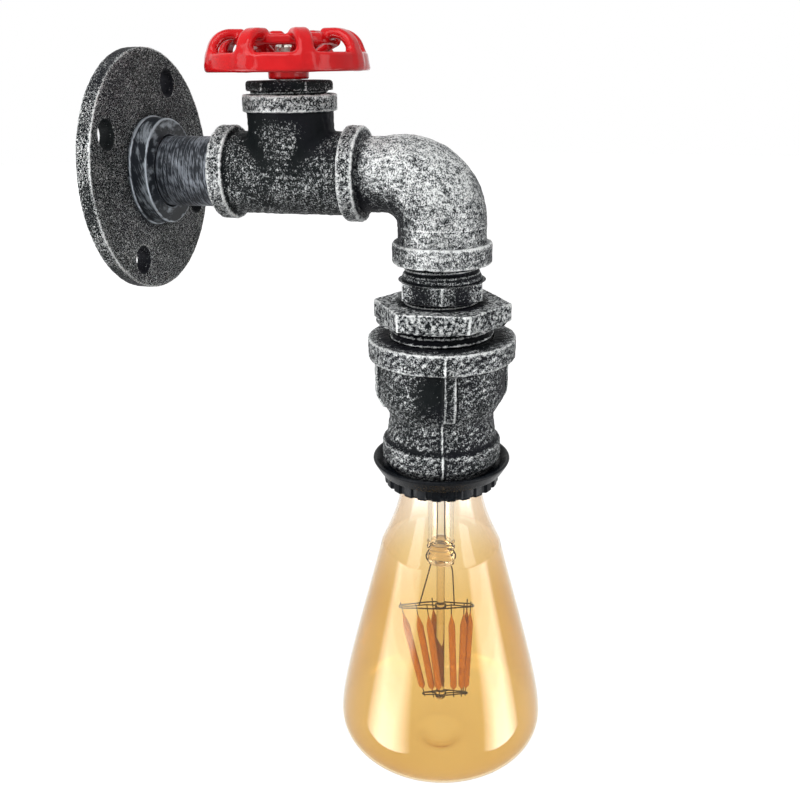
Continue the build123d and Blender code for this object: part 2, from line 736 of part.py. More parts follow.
def shade_ring():
    rim_top = shade_ring_seat + shade_ring_floor
    outer = shade_ring_diameter / 2
    return on_drop(turned([
        (ring_bore_radius, shade_ring_seat), (outer - shade_ring_lip - shade_ring_floor, shade_ring_seat),
        (outer - shade_ring_lip, rim_top), (outer, rim_top), (outer, rim_top - shade_ring_lip),
        (shade_ring_foot_diameter / 2, shade_ring_bottom), (ring_bore_radius, shade_ring_bottom),
    ]))


def ring_nut():
    low = ring_nut_top - ring_nut_height
    body = rod(ring_nut_diameter, low, ring_nut_top) - rod(2 * ring_bore_radius, low - 1, ring_nut_top + 1)
    notch = Pos(ring_nut_diameter / 2 - ring_nut_notch_depth, 0, low - 1) * Box(
        ring_nut_notch_depth * 2, ring_nut_notch_width, ring_nut_height,
        align=(Align.MIN, Align.CENTER, Align.MIN))
    for k in range(ring_nut_teeth):
        body -= Rot(0, 0, 360 / ring_nut_teeth * k) * notch
    return on_drop(body)


# ---------------------------------------------------------------- lamp
def lamp_cap():
    crest = lamp_cap_diameter / 2
    root = crest - lamp_cap_thread_depth
    ridges = round(lamp_cap_thread_length / lamp_cap_pitch)
    pitch = lamp_cap_thread_length / ridges
    outer = [(lamp_insulator_diameter / 2, lamp_cap_top), (root, lamp_cap_top, lamp_cap_corner)]
    start = lamp_cap_top - lamp_cap_corner
    for ridge in range(ridges):
        outer += [(crest, start - (ridge + 0.5) * pitch, lamp_cap_thread_rounding),
                  (root, start - (ridge + 1) * pitch, lamp_cap_thread_rounding)]
    outer = outer[:-1] + [(root, start - ridges * pitch), (lamp_cap_flare / 2, lamp_rim)]
    inner = [(radius - lamp_cap_wall, height, *rounding) for radius, height, *rounding in outer[2:]]
    inner = [(root - lamp_cap_wall, lamp_cap_top - lamp_cap_wall)] + inner
    inner = [(lamp_insulator_diameter / 2, lamp_cap_top - lamp_cap_wall)] + inner
    return on_drop(turned(outer + inner[::-1]))


def lamp_insulator():
    low = lamp_cap_top - lamp_cap_wall
    radius = lamp_insulator_diameter / 2 - screw_clearance
    shelf = lamp_tip_diameter / 2 + lamp_insulator_shelf
    return on_drop(turned([
        (0, low), (radius, low), (radius, lamp_cap_top), (shelf, lamp_insulator_top), (0, lamp_insulator_top),
    ]))


def lamp_tip():
    return on_drop(turned([
        (0, lamp_insulator_top), (lamp_tip_diameter / 2, lamp_insulator_top),
        (lamp_tip_diameter / 2, lamp_tip_top, lamp_tip_rounding), (0, lamp_tip_top),
    ]))


def lamp_envelope():
    """Clear glass shell, open at the neck where the stem closes it."""
    def side(inset):
        collar = (lamp_collar_diameter / 2 - inset, 0, lamp_rim)
        neck = (lamp_neck_diameter / 2 - inset, 0, lamp_rim - lamp_neck_drop)
        belly = (lamp_diameter / 2 - inset, 0, lamp_rim - lamp_belly_drop)
        bottom = (0, 0, lamp_rim - lamp_bottom_drop + inset)
        flank = Spline([neck, (lamp_shoulder_diameter / 2 - inset, 0, lamp_rim - lamp_shoulder_drop),
                        (lamp_waist_diameter / 2 - inset, 0, lamp_rim - lamp_waist_drop), belly],
                       tangents=[(lamp_neck_slope, 0, -1), (0, 0, -1)])
        bowl_radius = lamp_diameter / 2 - inset
        bowl_height = lamp_bottom_drop - lamp_belly_drop - inset
        bowl = EllipticalCenterArc((0, 0), bowl_radius, bowl_height, start_angle=-90, arc_size=90)
        bowl = Pos(0, 0, lamp_rim - lamp_belly_drop) * Rot(90, 0, 0) * bowl
        return collar, neck, flank, bowl, bottom

    collar_out, neck_out, flank_out, bowl_out, bottom_out = side(0)
    collar_in, neck_in, flank_in, bowl_in, bottom_in = side(lamp_wall)
    mouth_out = (lamp_mouth_diameter / 2, 0, lamp_rim + lamp_collar_length)
    mouth_in = (lamp_mouth_diameter / 2 - lamp_wall, 0, lamp_rim + lamp_collar_length)
    face = make_face([
        Line(mouth_in, mouth_out), Line(mouth_out, collar_out), Line(collar_out, neck_out), flank_out,
        bowl_out, Line(bottom_out, bottom_in), bowl_in, flank_in, Line(neck_in, collar_in),
        Line(collar_in, mouth_in),
    ])
    shell = revolve(face, axis=Axis.Z, revolution_arc=360)
    bottom = lamp_rim - lamp_bottom_drop
    pip = turned([
        (0, bottom + lamp_wall / 2), (lamp_pip_diameter / 2, bottom + lamp_wall / 2),
        (lamp_pip_end_diameter / 2, bottom - lamp_pip_height, lamp_pip_rounding),
        (0, bottom - lamp_pip_height),
    ])
    return on_drop(shell + pip)


def lamp_stem():
    """Glass tube with a flare sealed into the neck, a pinch, and the rod that carries the frames."""
    tube = stem_tube_diameter / 2
    flare = lamp_collar_diameter / 2 - lamp_wall - lamp_seal_gap
    pinch_top = lamp_rim - stem_pinch_drop
    body = turned([
        (tube - stem_tube_wall, pinch_top), (tube, pinch_top),
        (tube, lamp_rim - stem_flare_height, stem_flare_height / 2),
        (flare, lamp_rim - stem_tube_wall), (flare, lamp_rim), (tube - stem_tube_wall, lamp_rim),
    ])
    body += Pos(0, 0, pinch_top) * Box(stem_pinch_thickness, stem_tube_diameter, stem_pinch_height,
                                       align=(Align.CENTER, Align.CENTER, Align.MAX))
    body += rod(stem_rod_diameter, lamp_rim - stem_rod_drop, pinch_top)
    return on_drop(body)


def wire_between(start, stop, diameter):
    """Straight round wire between two points."""
    start, stop = Vector(*start), Vector(*stop)
    plane = Plane(origin=start, z_dir=stop - start)
    return extrude(plane * Circle(diameter / 2), amount=(stop - start).length)


def wire_frame(radius, height):
    """Ring of wire round the rod, on four arms from a collar."""
    body = Pos(0, 0, height) * Torus(radius, frame_wire / 2)
    half = frame_collar_height / 2
    body += rod(stem_rod_diameter + 2 * frame_wire, height - half, height + half)
    for k in range(frame_arm_count):
        angle = radians(filament_turn + 360 / frame_arm_count * k)
        arm_end = (radius * cos(angle), radius * sin(angle), height)
        body += wire_between((0, 0, height), arm_end, frame_arm_wire)
    hole = stem_rod_diameter + 2 * screw_clearance
    return on_drop(body - rod(hole, height - frame_collar_height, height + frame_collar_height))


def upper_frame():
    return wire_frame(upper_frame_radius, lamp_rim - upper_frame_drop)


def lower_frame():
    return wire_frame(lower_frame_radius, lamp_rim - lower_frame_drop)


def lead_wires():
    """Two leads from the pinch out to the upper frame."""
    top = lamp_rim - stem_pinch_drop - stem_pinch_height - lead_wire / 2
    low = lamp_rim - upper_frame_drop + frame_wire / 2 + lead_wire
    angle = radians(filament_turn + 90)
    pair = []
    for sign in (-1, 1):
        inner = sign * lead_spread
        outer = sign * (upper_frame_radius - lead_inset)
        start = (inner * cos(angle), inner * sin(angle), top)
        pair.append(wire_between(start, (outer * cos(angle), outer * sin(angle), low), lead_wire))
    return on_drop(Compound(children=pair))


def filaments():
    """Straight light sticks between the two frames."""
    gap = frame_wire / 2 + screw_clearance
    high = lamp_rim - upper_frame_drop - gap - filament_diameter / 4
    low = lamp_rim - lower_frame_drop + gap + filament_diameter / 4
    sticks = []
    for k in range(filament_count):
        angle = radians(filament_turn + 360 / filament_count * (k + 0.5))
        sticks.append(wire_between((upper_frame_radius * cos(angle), upper_frame_radius * sin(angle), high),
                                   (lower_frame_radius * cos(angle), lower_frame_radius * sin(angle), low),
                                   filament_diameter))
    return on_drop(Compound(children=sticks))


def lamp_driver():
    """Small circuit board with a capacitor, inside the lamp's cap."""
    top = lamp_cap_top - lamp_cap_wall - screw_clearance
    board = Pos(0, 0, top) * Box(driver_board_thickness, driver_board_width, driver_board_length,
                                 align=(Align.CENTER, Align.CENTER, Align.MAX))
    across = driver_capacitor_diameter / 2 + driver_board_thickness / 2
    high = top - driver_capacitor_drop
    board += Pos(across, 0, 0) * rod(driver_capacitor_diameter, high - driver_capacitor_length, high)
    return on_drop(board)


for make in (wall_flange, wall_nipple, tee, bonnet_plug, spindle_seal, spindle, spindle_clip, handwheel,
             wheel_washer, wheel_screw, street_elbow, hex_nipple, hex_bushing, reducing_coupling,
             lampholder_body, lampholder_cap, screw_shell, centre_contact, terminals, terminal_screws,
             shade_ring, ring_nut, lamp_cap, lamp_insulator, lamp_tip, lamp_envelope, lamp_stem,
             upper_frame, lower_frame, lead_wires, filaments, lamp_driver):
    write(make.__name__, make())
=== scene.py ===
"""Looks of the industrial pipe wall light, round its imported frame.

Lengths are millimetres in the row frame until a mesh is made: the wall is y = 0, the arm stands out along
-Y, and +Z is up. "Out" is the distance from the wall. Each surface is worked out with whole arrays, either
as points over two parameters or as the zero of a distance formula over x, y and z.
"""

from math import cos, pi, radians, sin

import bmesh
import bpy
import numpy as np
from mathutils import Matrix, Vector

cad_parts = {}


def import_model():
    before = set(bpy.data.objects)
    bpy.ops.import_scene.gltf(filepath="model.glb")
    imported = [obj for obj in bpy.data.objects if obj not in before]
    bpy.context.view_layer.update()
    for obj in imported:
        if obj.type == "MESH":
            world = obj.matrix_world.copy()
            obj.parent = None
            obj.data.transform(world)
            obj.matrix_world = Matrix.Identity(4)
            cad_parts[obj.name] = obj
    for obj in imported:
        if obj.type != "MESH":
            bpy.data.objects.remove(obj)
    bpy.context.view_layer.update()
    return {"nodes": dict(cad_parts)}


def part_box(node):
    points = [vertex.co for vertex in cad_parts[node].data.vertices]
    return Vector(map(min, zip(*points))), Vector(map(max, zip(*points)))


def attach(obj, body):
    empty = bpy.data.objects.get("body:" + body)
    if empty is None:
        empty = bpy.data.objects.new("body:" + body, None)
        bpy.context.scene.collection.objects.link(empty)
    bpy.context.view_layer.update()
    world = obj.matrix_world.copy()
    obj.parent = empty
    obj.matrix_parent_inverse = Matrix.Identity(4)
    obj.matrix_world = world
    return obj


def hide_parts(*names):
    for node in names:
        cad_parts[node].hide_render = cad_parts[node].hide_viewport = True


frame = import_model()

MM = 0.001


def extent(node):
    """Lowest and highest corner of a CAD node, in millimetres."""
    low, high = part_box(node)
    return np.array(low) / MM, np.array(high) / MM


# ------------------------------------------------------------------ places, from the frame
flange_low, flange_high = extent("wall_flange")
nipple_low, nipple_high = extent("wall_nipple")
tee_low, tee_high = extent("tee")
bonnet_low, bonnet_high = extent("bonnet_plug")
wheel_low, wheel_high = extent("handwheel")
elbow_low, elbow_high = extent("street_elbow")
hex_nipple_low, hex_nipple_high = extent("hex_nipple")
bushing_low, bushing_high = extent("hex_bushing")
coupling_low, coupling_high = extent("reducing_coupling")
shade_low, shade_high = extent("shade_ring")
nut_low, nut_high = extent("ring_nut")
cap_low, cap_high = extent("lamp_cap")
envelope_low, envelope_high = extent("lamp_envelope")

branch_out = -(tee_low[1] + tee_high[1]) / 2
drop_out = -(coupling_low[1] + coupling_high[1]) / 2
tee_start, tee_end = -tee_high[1], -tee_low[1]
hub_front = -flange_low[1]
lamp_rim = cap_low[2]

# ------------------------------------------------------------------ sizes of the castings
flange_plate = 4.7
hub_radius = 16.5
hub_lip_radius = 17.3
hub_lip_height = 0.9
screw_circle_radius = 30.0
screw_hole_radius = 3.6
screw_hole_chamfer = 1.0
first_screw_angle = 64.0
pipe_radius = 11.0
arm_bore = 10.9
nipple_bore = 7.8
tee_radius = 12.7
branch_radius = 13.3
mouth_bore = 12.1                   # bore of each mouth that takes a screwed piece
thread_crest = 12.0
thread_pitch, thread_depth = 1.8, 0.9
band_width = 5.0
branch_fillet = 1.6
band_fillet = 0.5
band_rounding = 0.55
elbow_inner_radius = 3.7
elbow_radii = (11.45, 12.5, 13.4, 13.8, 13.8)
elbow_bend_out = 7.15
elbow_bore = 7.4
elbow_band = 6.5
elbow_thread, elbow_mouth_depth = 10.5, 11.0        # lengths of its male thread and of its lower mouth
coupling_rim_height = 7.6
coupling_rib_turn, coupling_ribs = 19.6, 4
coupling_seam_offset = 2.0
relief_coarse, relief_fine = 7.0, 2.2
casting_grain = 0.38                # cell of the grid that a casting is worked out on


# ------------------------------------------------------------------ distance formulas
far = 99.0                          # a distance past any piece, where a formula doesn't hold


def cylinder(radial, along, radius, low, high, rounding=0.0):
    """Distance to a cylinder with rounded rims.

    With a = radial - R and b = |along - middle| - half height, both moved in by the rounding, it is
    min(max(a, b), 0) + the length of (max(a, 0), max(b, 0)), less the rounding.
    """
    a = radial - (radius - rounding)
    b = np.abs(along - (low + high) / 2) - ((high - low) / 2 - rounding)
    return np.minimum(np.maximum(a, b), 0) + np.hypot(np.maximum(a, 0), np.maximum(b, 0)) - rounding


def union(a, b, fillet):
    """Both solids with a fillet between them: min(a, b) - h h k / 4, where h = max(1 - |a - b| / k, 0)."""
    h = np.maximum(1 - np.abs(a - b) / fillet, 0)
    return np.minimum(a, b) - h * h * fillet / 4


def cut(a, b, rounding):
    """The first solid less the second, its new edge rounded: the union of -a and b, turned round."""
    return -union(-a, b, rounding)


def smooth(low, high, value):
    """0 below low, 1 above high, and 3 s s - 2 s s s between."""
    s = np.clip((value - low) / (high - low), 0, 1)
    return s * s * (3 - 2 * s)


def skin(field, low, high, step):
    """Closed surface where field(x, y, z) is 0, for a field that is below 0 inside.

    Each cell of an even grid that the surface crosses has one point, the mean of the crossings on its
    edges, and each grid edge that is crossed has one quad, between the four cells round it. Three steps
    of p - f grad f / |grad f|^2 then put the points on the surface.
    """
    axes = [np.arange(a - 2 * step, b + 3 * step, step) for a, b in zip(low, high)]
    grid = np.stack(np.meshgrid(*axes, indexing="ij"), axis=-1)
    value = field(*np.moveaxis(grid, -1, 0))
    cells = tuple(n - 1 for n in value.shape)
    total, count, crossings = np.zeros(cells + (3,)), np.zeros(cells), []
    for axis in range(3):
        others = [k for k in range(3) if k != axis]
        front = tuple(slice(None, -1) if k == axis else slice(None) for k in range(3))
        back = tuple(slice(1, None) if k == axis else slice(None) for k in range(3))
        here, there = value[front], value[back]
        crossed = (here < 0) != (there < 0)
        point = grid[front].copy()
        point[..., axis] += step * here / np.where(crossed, here - there, 1)
        point[~crossed] = 0
        for shift in ((0, 0), (0, 1), (1, 0), (1, 1)):
            window = [slice(None)] * 3
            for k, s in zip(others, shift):
                window[k] = slice(s, s + cells[k])
            total += point[tuple(window)]
            count += crossed[tuple(window)]
        crossings.append((others, np.argwhere(crossed), (here[crossed] >= 0) ^ (axis == 1)))
    active = count > 0
    number = np.full(cells, -1)
    number[active] = np.arange(active.sum())
    points = total[active] / count[active][:, None]
    quads = []
    for others, edges, turned_round in crossings:
        corners = []
        for shift in ((1, 1), (0, 1), (0, 0), (1, 0)):
            cell = edges.copy()
            cell[:, others] -= shift
            corners.append(number[tuple(cell.T)])
        faces = np.stack(corners, axis=1)
        faces[turned_round] = faces[turned_round][:, ::-1]
        quads.append(faces)
    for _ in range(3):
        slope = np.stack([
            field(*(points + offset).T) - field(*(points - offset).T) for offset in np.eye(3) * step / 4
        ], axis=1) / (step / 2)
        squared = np.maximum((slope ** 2).sum(axis=1), 0.04)
        reach = np.clip(field(*points.T) / squared, -step / 2, step / 2)
        points -= slope * reach[:, None]
    return points, np.concatenate(quads)


# ------------------------------------------------------------------ surfaces over two parameters
def lattice(rows, columns, closed_rows=True):
    """Quads of a grid of points whose columns close on themselves, and whose rows may."""
    row = np.arange(rows if closed_rows else rows - 1)[:, None]
    column = np.arange(columns)[None, :]
    after, beside = (row + 1) % rows, (column + 1) % columns
    here, ahead = row * columns, after * columns
    faces = [here + column, here + beside, ahead + beside, ahead + column]
    return np.stack(np.broadcast_arrays(*faces), axis=-1).reshape(-1, 4)


def outline(corners, step):
    """Closed outline through (radius, height[, rounding]) corners, as evenly spaced points.

    A rounded corner is the arc that is tangent to both runs. The outline goes up its outer side.
    """
    places = np.array([corner[:2] for corner in corners], float)
    knots = []
    for index, corner in enumerate(corners):
        here = places[index]
        if len(corner) == 2:
            knots.append(here[None])
            continue
        back = places[index - 1] - here
        ahead = places[(index + 1) % len(corners)] - here
        back, ahead = back / np.linalg.norm(back), ahead / np.linalg.norm(ahead)
        half = np.arccos(np.clip(back @ ahead, -1, 1)) / 2
        middle = (back + ahead) / np.linalg.norm(back + ahead)
        centre = here + middle * corner[2] / np.sin(half)
        reach = corner[2] / np.tan(half)
        share = np.linspace(0, 1, max(4, int(corner[2] * 2.2 / step)))[:, None]
        spoke = (here + back * reach - centre) * (1 - share) + (here + ahead * reach - centre) * share
        knots.append(centre + spoke / np.linalg.norm(spoke, axis=1)[:, None] * corner[2])
    knots = np.concatenate(knots)
    runs = np.roll(knots, -1, axis=0) - knots
    counts = np.maximum(np.ceil(np.hypot(*runs.T) / step).astype(int), 1)
    index = np.repeat(np.arange(len(knots)), counts)
    share = (np.arange(counts.sum()) - np.repeat(np.cumsum(counts) - counts, counts)) / counts[index]
    return (knots[index] + runs[index] * share[:, None]).T


def revolved(radius, height, sides, shape=None):
    """Surface of revolution: (R cos t, R sin t, h) for a closed outline of (r, h) and t round the axis.

    R is r, or shape(r, h, t) where the piece has flats, ribs or a thread.
    """
    bearing = np.linspace(0, 2 * pi, sides, endpoint=False)[None, :]
    radius, height, bearing = np.broadcast_arrays(radius[:, None], height[:, None], bearing)
    if shape is not None:
        radius = shape(radius, height, bearing)
    points = np.stack([radius * np.cos(bearing), radius * np.sin(bearing), height], axis=-1)
    return points.reshape(-1, 3), lattice(*radius.shape)


def turned(corners, step, sides, shape=None):
    """Surface of revolution of the outline through the corners."""
    return revolved(*outline(corners, step), sides, shape)


def thread(radius, height, bearing, crest, depth, pitch, low, high):
    """Helical thread between two heights: r = crest - depth ((1 - cos(2 pi h / pitch - t)) / 2)^0.8.

    Only the side that reaches the crest is cut, and the cut fades out over half a turn at each end.
    """
    groove = (1 - np.cos(2 * pi * height / pitch - bearing)) / 2
    fade = smooth(low, low + pitch / 2, height) * (1 - smooth(high - pitch / 2, high, height))
    on_side = (radius > crest - 0.02) & (height > low) & (height < high)
    return np.where(on_side, radius - depth * groove ** 0.8 * fade, radius)


def soft_hexagon(bearing, across_flats, first_flat, sharpness):
    """Radius of a hexagon with rounded corners: (a / 2) / (sum of max(cos(t - t_k), 0)^p)^(1 / p)."""
    flats = radians(first_flat) + np.arange(6) * pi / 3
    pull = sum(np.maximum(np.cos(bearing - flat), 0) ** sharpness for flat in flats)
    return across_flats / 2 / pull ** (1 / sharpness)


def tube(path, radius, sides, guide=(1.0, 0.0, 0.0)):
    """Round section carried along a path: p + r (cos t n + sin t b), with n and b square to the path.

    Two more rings of no radius close its ends.
    """
    path = np.asarray(path, float)
    radius = np.broadcast_to(np.asarray(radius, float), (len(path),))
    ahead = np.gradient(path, axis=0)
    ahead /= np.linalg.norm(ahead, axis=1)[:, None]
    across = np.cross(ahead, guide)
    across /= np.linalg.norm(across, axis=1)[:, None]
    third = np.cross(ahead, across)
    path = np.concatenate([path[:1], path, path[-1:]])
    across, third = (np.concatenate([v[:1], v, v[-1:]]) for v in (across, third))
    radius = np.concatenate([[0], radius, [0]])[:, None, None]
    turn = np.linspace(0, 2 * pi, sides, endpoint=False)[None, :, None]
    section = np.cos(turn) * across[:, None] + np.sin(turn) * third[:, None]
    points = path[:, None] + radius * section
    return points.reshape(-1, 3), lattice(len(path), sides, closed_rows=False)


def hoop(height, radius, wire, waver=0.0, depth=1.0):
    """Ring of wire about Z, flattened to an oval: its height wavers by a sum of two waves round it."""
    steps, sides = 72, 10
    turn = np.linspace(0, 2 * pi, steps, endpoint=False)[:, None]
    section = np.linspace(0, 2 * pi, sides, endpoint=False)[None, :]
    middle = flattened(np.concatenate([np.cos(turn), np.sin(turn), turn * 0], axis=1) * radius, depth)
    lift = height + wire * np.sin(section) + waver * (np.sin(2 * turn + 1) + np.sin(5 * turn))
    reach = wire * np.cos(section)
    points = np.stack(np.broadcast_arrays(
        middle[:, :1] + reach * np.cos(turn), middle[:, 1:2] + reach * np.sin(turn), lift), axis=-1)
    return points.reshape(-1, 3), lattice(steps, sides)[:, ::-1]


def joined(*surfaces):
    """Several surfaces as one."""
    starts = np.cumsum([0] + [len(points) for points, _ in surfaces])
    points = np.concatenate([points for points, _ in surfaces])
    return points, np.concatenate([quads + start for (_, quads), start in zip(surfaces, starts)])


def on_arm(surface):
    """A surface that was made about Z, laid along the arm: its height becomes the distance out."""
    points, quads = surface
    return np.stack([points[:, 0], -points[:, 2], points[:, 1]], axis=1), quads


def moved(surface, out):
    """A surface moved away from the wall."""
    points, quads = surface
    return points - np.array([0.0, out, 0.0]), quads


def dropped(surface):
    """A surface that was made about Z, moved out to the axis of the drop."""
    return moved(surface, drop_out)


def nearest(bearing, first, count):
    """Angle to the nearest of evenly spaced bearings: (t - t_0 + pi / n) mod (2 pi / n) - pi / n."""
    return (bearing - first + pi / count) % (2 * pi / count) - pi / count


# ------------------------------------------------------------------ unevenness, normals and wear
def unevenness(points, wavelength, seed):
    """Smooth random relief of about unit size: a sum of sine waves in random directions."""
    waves = 28
    chance = np.random.default_rng(seed)
    direction = chance.normal(size=(waves, 3))
    direction /= np.linalg.norm(direction, axis=1)[:, None]
    number = 2 * pi / (wavelength * chance.uniform(0.7, 1.5, waves))
    phase = chance.uniform(0, 2 * pi, waves)
    return np.sin(points @ (direction * number[:, None]).T + phase).sum(axis=1) * (2 / waves) ** 0.5


def normals(points, quads):
    """Unit normal at each point: the sum of the cross products of the diagonals of its quads."""
    a, b, c, d = (points[quads[:, k]] for k in range(4))
    face = np.cross(c - a, d - b)
    total = np.stack([
        sum(np.bincount(quads[:, k], face[:, axis], len(points)) for k in range(4)) for axis in range(3)
    ], axis=1)
    return total / np.maximum(np.linalg.norm(total, axis=1), 1e-12)[:, None]


def wear_and_hollow_shade(points, quads, rounds, normal):
    """How far each point stands out of its surroundings, in millimetres: (p - mean p) . n."""
    def gathered(at, values=None):
        """Values summed at each point."""
        return np.bincount(at, values, len(points))

    first, second = quads.ravel(), np.roll(quads, -1, axis=1).ravel()
    count = gathered(first) + gathered(second)
    mean = points.copy()
    for _ in range(rounds):
        mean = np.stack([
            gathered(first, mean[second, axis]) + gathered(second, mean[first, axis]) for axis in range(3)
        ], axis=1) / count[:, None]
    return ((points - mean) * normal).sum(axis=1)


def cast_relief(surface, amount, seed):
    """A casting's points moved along their normals by a coarse and a fine unevenness."""
    points, quads = surface
    relief = unevenness(points, relief_coarse, seed) * 0.6 + unevenness(points, relief_fine, seed + 1)
    return points + normals(points, quads) * (relief * amount)[:, None], quads


# ------------------------------------------------------------------ making a piece
plain_wear, full_wear = 0.012, 0.09     # standing out this far is no wear, and this much more is full wear
wear_rounds = 3
plain_cover, inside_cover = 0.5, 0.05
sharp_angle = radians(50.0)


def piece(name, surface, material, body, stands_for, cover=None, merge=False):
    """Make a surface a mesh object that rides on a body and stands for a CAD node.

    Its points carry a stand-out value, from -0.5 in a hollow to 1 and more on an edge, whose hollow values
    also paint shade, and a silver share, the share that the silver paint reached, from the cover function of
    its points and normals, which on some pieces also paints shade and highlights. A surface with rings of no
    radius has their points merged.
    """
    points, quads = surface
    mesh = bpy.data.meshes.new(name)
    mesh.from_pydata(points * MM, [], quads)
    normal = normals(points, quads)
    wear_and_shade = np.clip((wear_and_hollow_shade(points, quads, wear_rounds, normal) - plain_wear) / full_wear, -0.5, 1.6)
    share = np.full(len(points), plain_cover) if cover is None else cover(points, normal)
    for label, values in (("wear_and_hollow_shade", wear_and_shade), ("silver_cover_light_and_shade", share)):
        mesh.attributes.new(label, "FLOAT", "POINT").data.foreach_set("value", values.astype(np.float32))
    if merge:
        form = bmesh.new()
        form.from_mesh(mesh)
        bmesh.ops.remove_doubles(form, verts=form.verts, dist=1e-7)
        form.to_mesh(mesh)
        form.free()
    mesh.shade_smooth()
    mesh.set_sharp_from_angle(angle=sharp_angle)
    made = bpy.data.objects.new(name, mesh)
    bpy.context.scene.collection.objects.link(made)
    mesh.materials.append(material)
    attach(made, body)
    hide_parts(stands_for)


# ------------------------------------------------------------------ material tools
def node(tree, kind, inputs=(), **settings):
    """Add a shader node, set its properties, and give its inputs a value or a link."""
    made = tree.nodes.new(kind)
    for key, value in settings.items():
        setattr(made, key, value)
    for key, value in dict(inputs).items():
        if isinstance(value, bpy.types.NodeSocket):
            tree.links.new(value, made.inputs[key])
        else:
            made.inputs[key].default_value = value
    return made


def calc(tree, operation, *values, clamp=False):
    """A Math node's result."""
    made = node(tree, "ShaderNodeMath", dict(enumerate(values)), operation=operation, use_clamp=clamp)
    return made.outputs[0]


def times(tree, value, factor):
    """A value times a factor."""
    return calc(tree, "MULTIPLY", value, factor)


def summed(tree, *values):
    """The sum of several values."""
    total = values[0]
    for value in values[1:]:
        total = calc(tree, "ADD", total, value)
    return total


def mixed(tree, share, first, second):
    """Mix two colours by a share."""
    made = node(tree, "ShaderNodeMix", data_type="RGBA")
    for key, value in ((0, share), (6, first), (7, second)):
        if isinstance(value, bpy.types.NodeSocket):
            tree.links.new(value, made.inputs[key])
        else:
            made.inputs[key].default_value = value if key == 0 else (*value, 1.0)
    return made.outputs[2]


def grain(tree, place, scale, detail=2.0, roughness=0.5, stretch=None):
    """Noise in object space, its size given per metre, and squeezed along an axis by a stretch."""
    if stretch is not None:
        place = node(tree, "ShaderNodeMapping", {"Vector": place, "Scale": stretch}).outputs[0]
    noise = node(tree, "ShaderNodeTexNoise", {
        "Vector": place, "Scale": scale, "Detail": detail, "Roughness": roughness})
    return noise.outputs["Fac"]


def ranged(tree, value, low, high, to_low=0.0, to_high=1.0, kind="SMOOTHSTEP"):
    """Map a value from one range to another, held at the ends."""
    return node(tree, "ShaderNodeMapRange", {
        "Value": value, "From Min": low, "From Max": high, "To Min": to_low, "To Max": to_high,
    }, interpolation_type=kind).outputs[0]


def object_place(tree):
    """The place on the piece, in object space."""
    return node(tree, "ShaderNodeTexCoord").outputs["Object"]


def own_value(tree, label):
    """A value that the piece's points carry."""
    return node(tree, "ShaderNodeAttribute", attribute_name=label).outputs["Fac"]


def seen_rays(tree):
    """1 for the rays of the camera, of reflections and through glass, else 0."""
    path = node(tree, "ShaderNodeLightPath").outputs
    either = calc(tree, "MAXIMUM", path["Is Glossy Ray"], path["Is Transmission Ray"])
    return calc(tree, "MAXIMUM", path["Is Camera Ray"], either)


def effect(name, inputs, outputs):
    """An empty node group: its tree, its input sockets by name, and its output node."""
    tree = bpy.data.node_groups.new(name, "ShaderNodeTree")
    for label, value in inputs.items():
        is_colour = isinstance(value, tuple)
        socket = tree.interface.new_socket(
            label, in_out="INPUT", socket_type="NodeSocketColor" if is_colour else "NodeSocketFloat")
        socket.default_value = (*value, 1.0) if is_colour else value
    for label, kind in outputs.items():
        tree.interface.new_socket(label, in_out="OUTPUT", socket_type=kind)
    return tree, node(tree, "NodeGroupInput").outputs, node(tree, "NodeGroupOutput")


def finish_group(tree, end, **outputs):
    """Link the group's results to its outputs."""
    for label, socket in outputs.items():
        tree.links.new(socket, end.inputs[label])


COLOUR, NUMBER = "NodeSocketColor", "NodeSocketFloat"


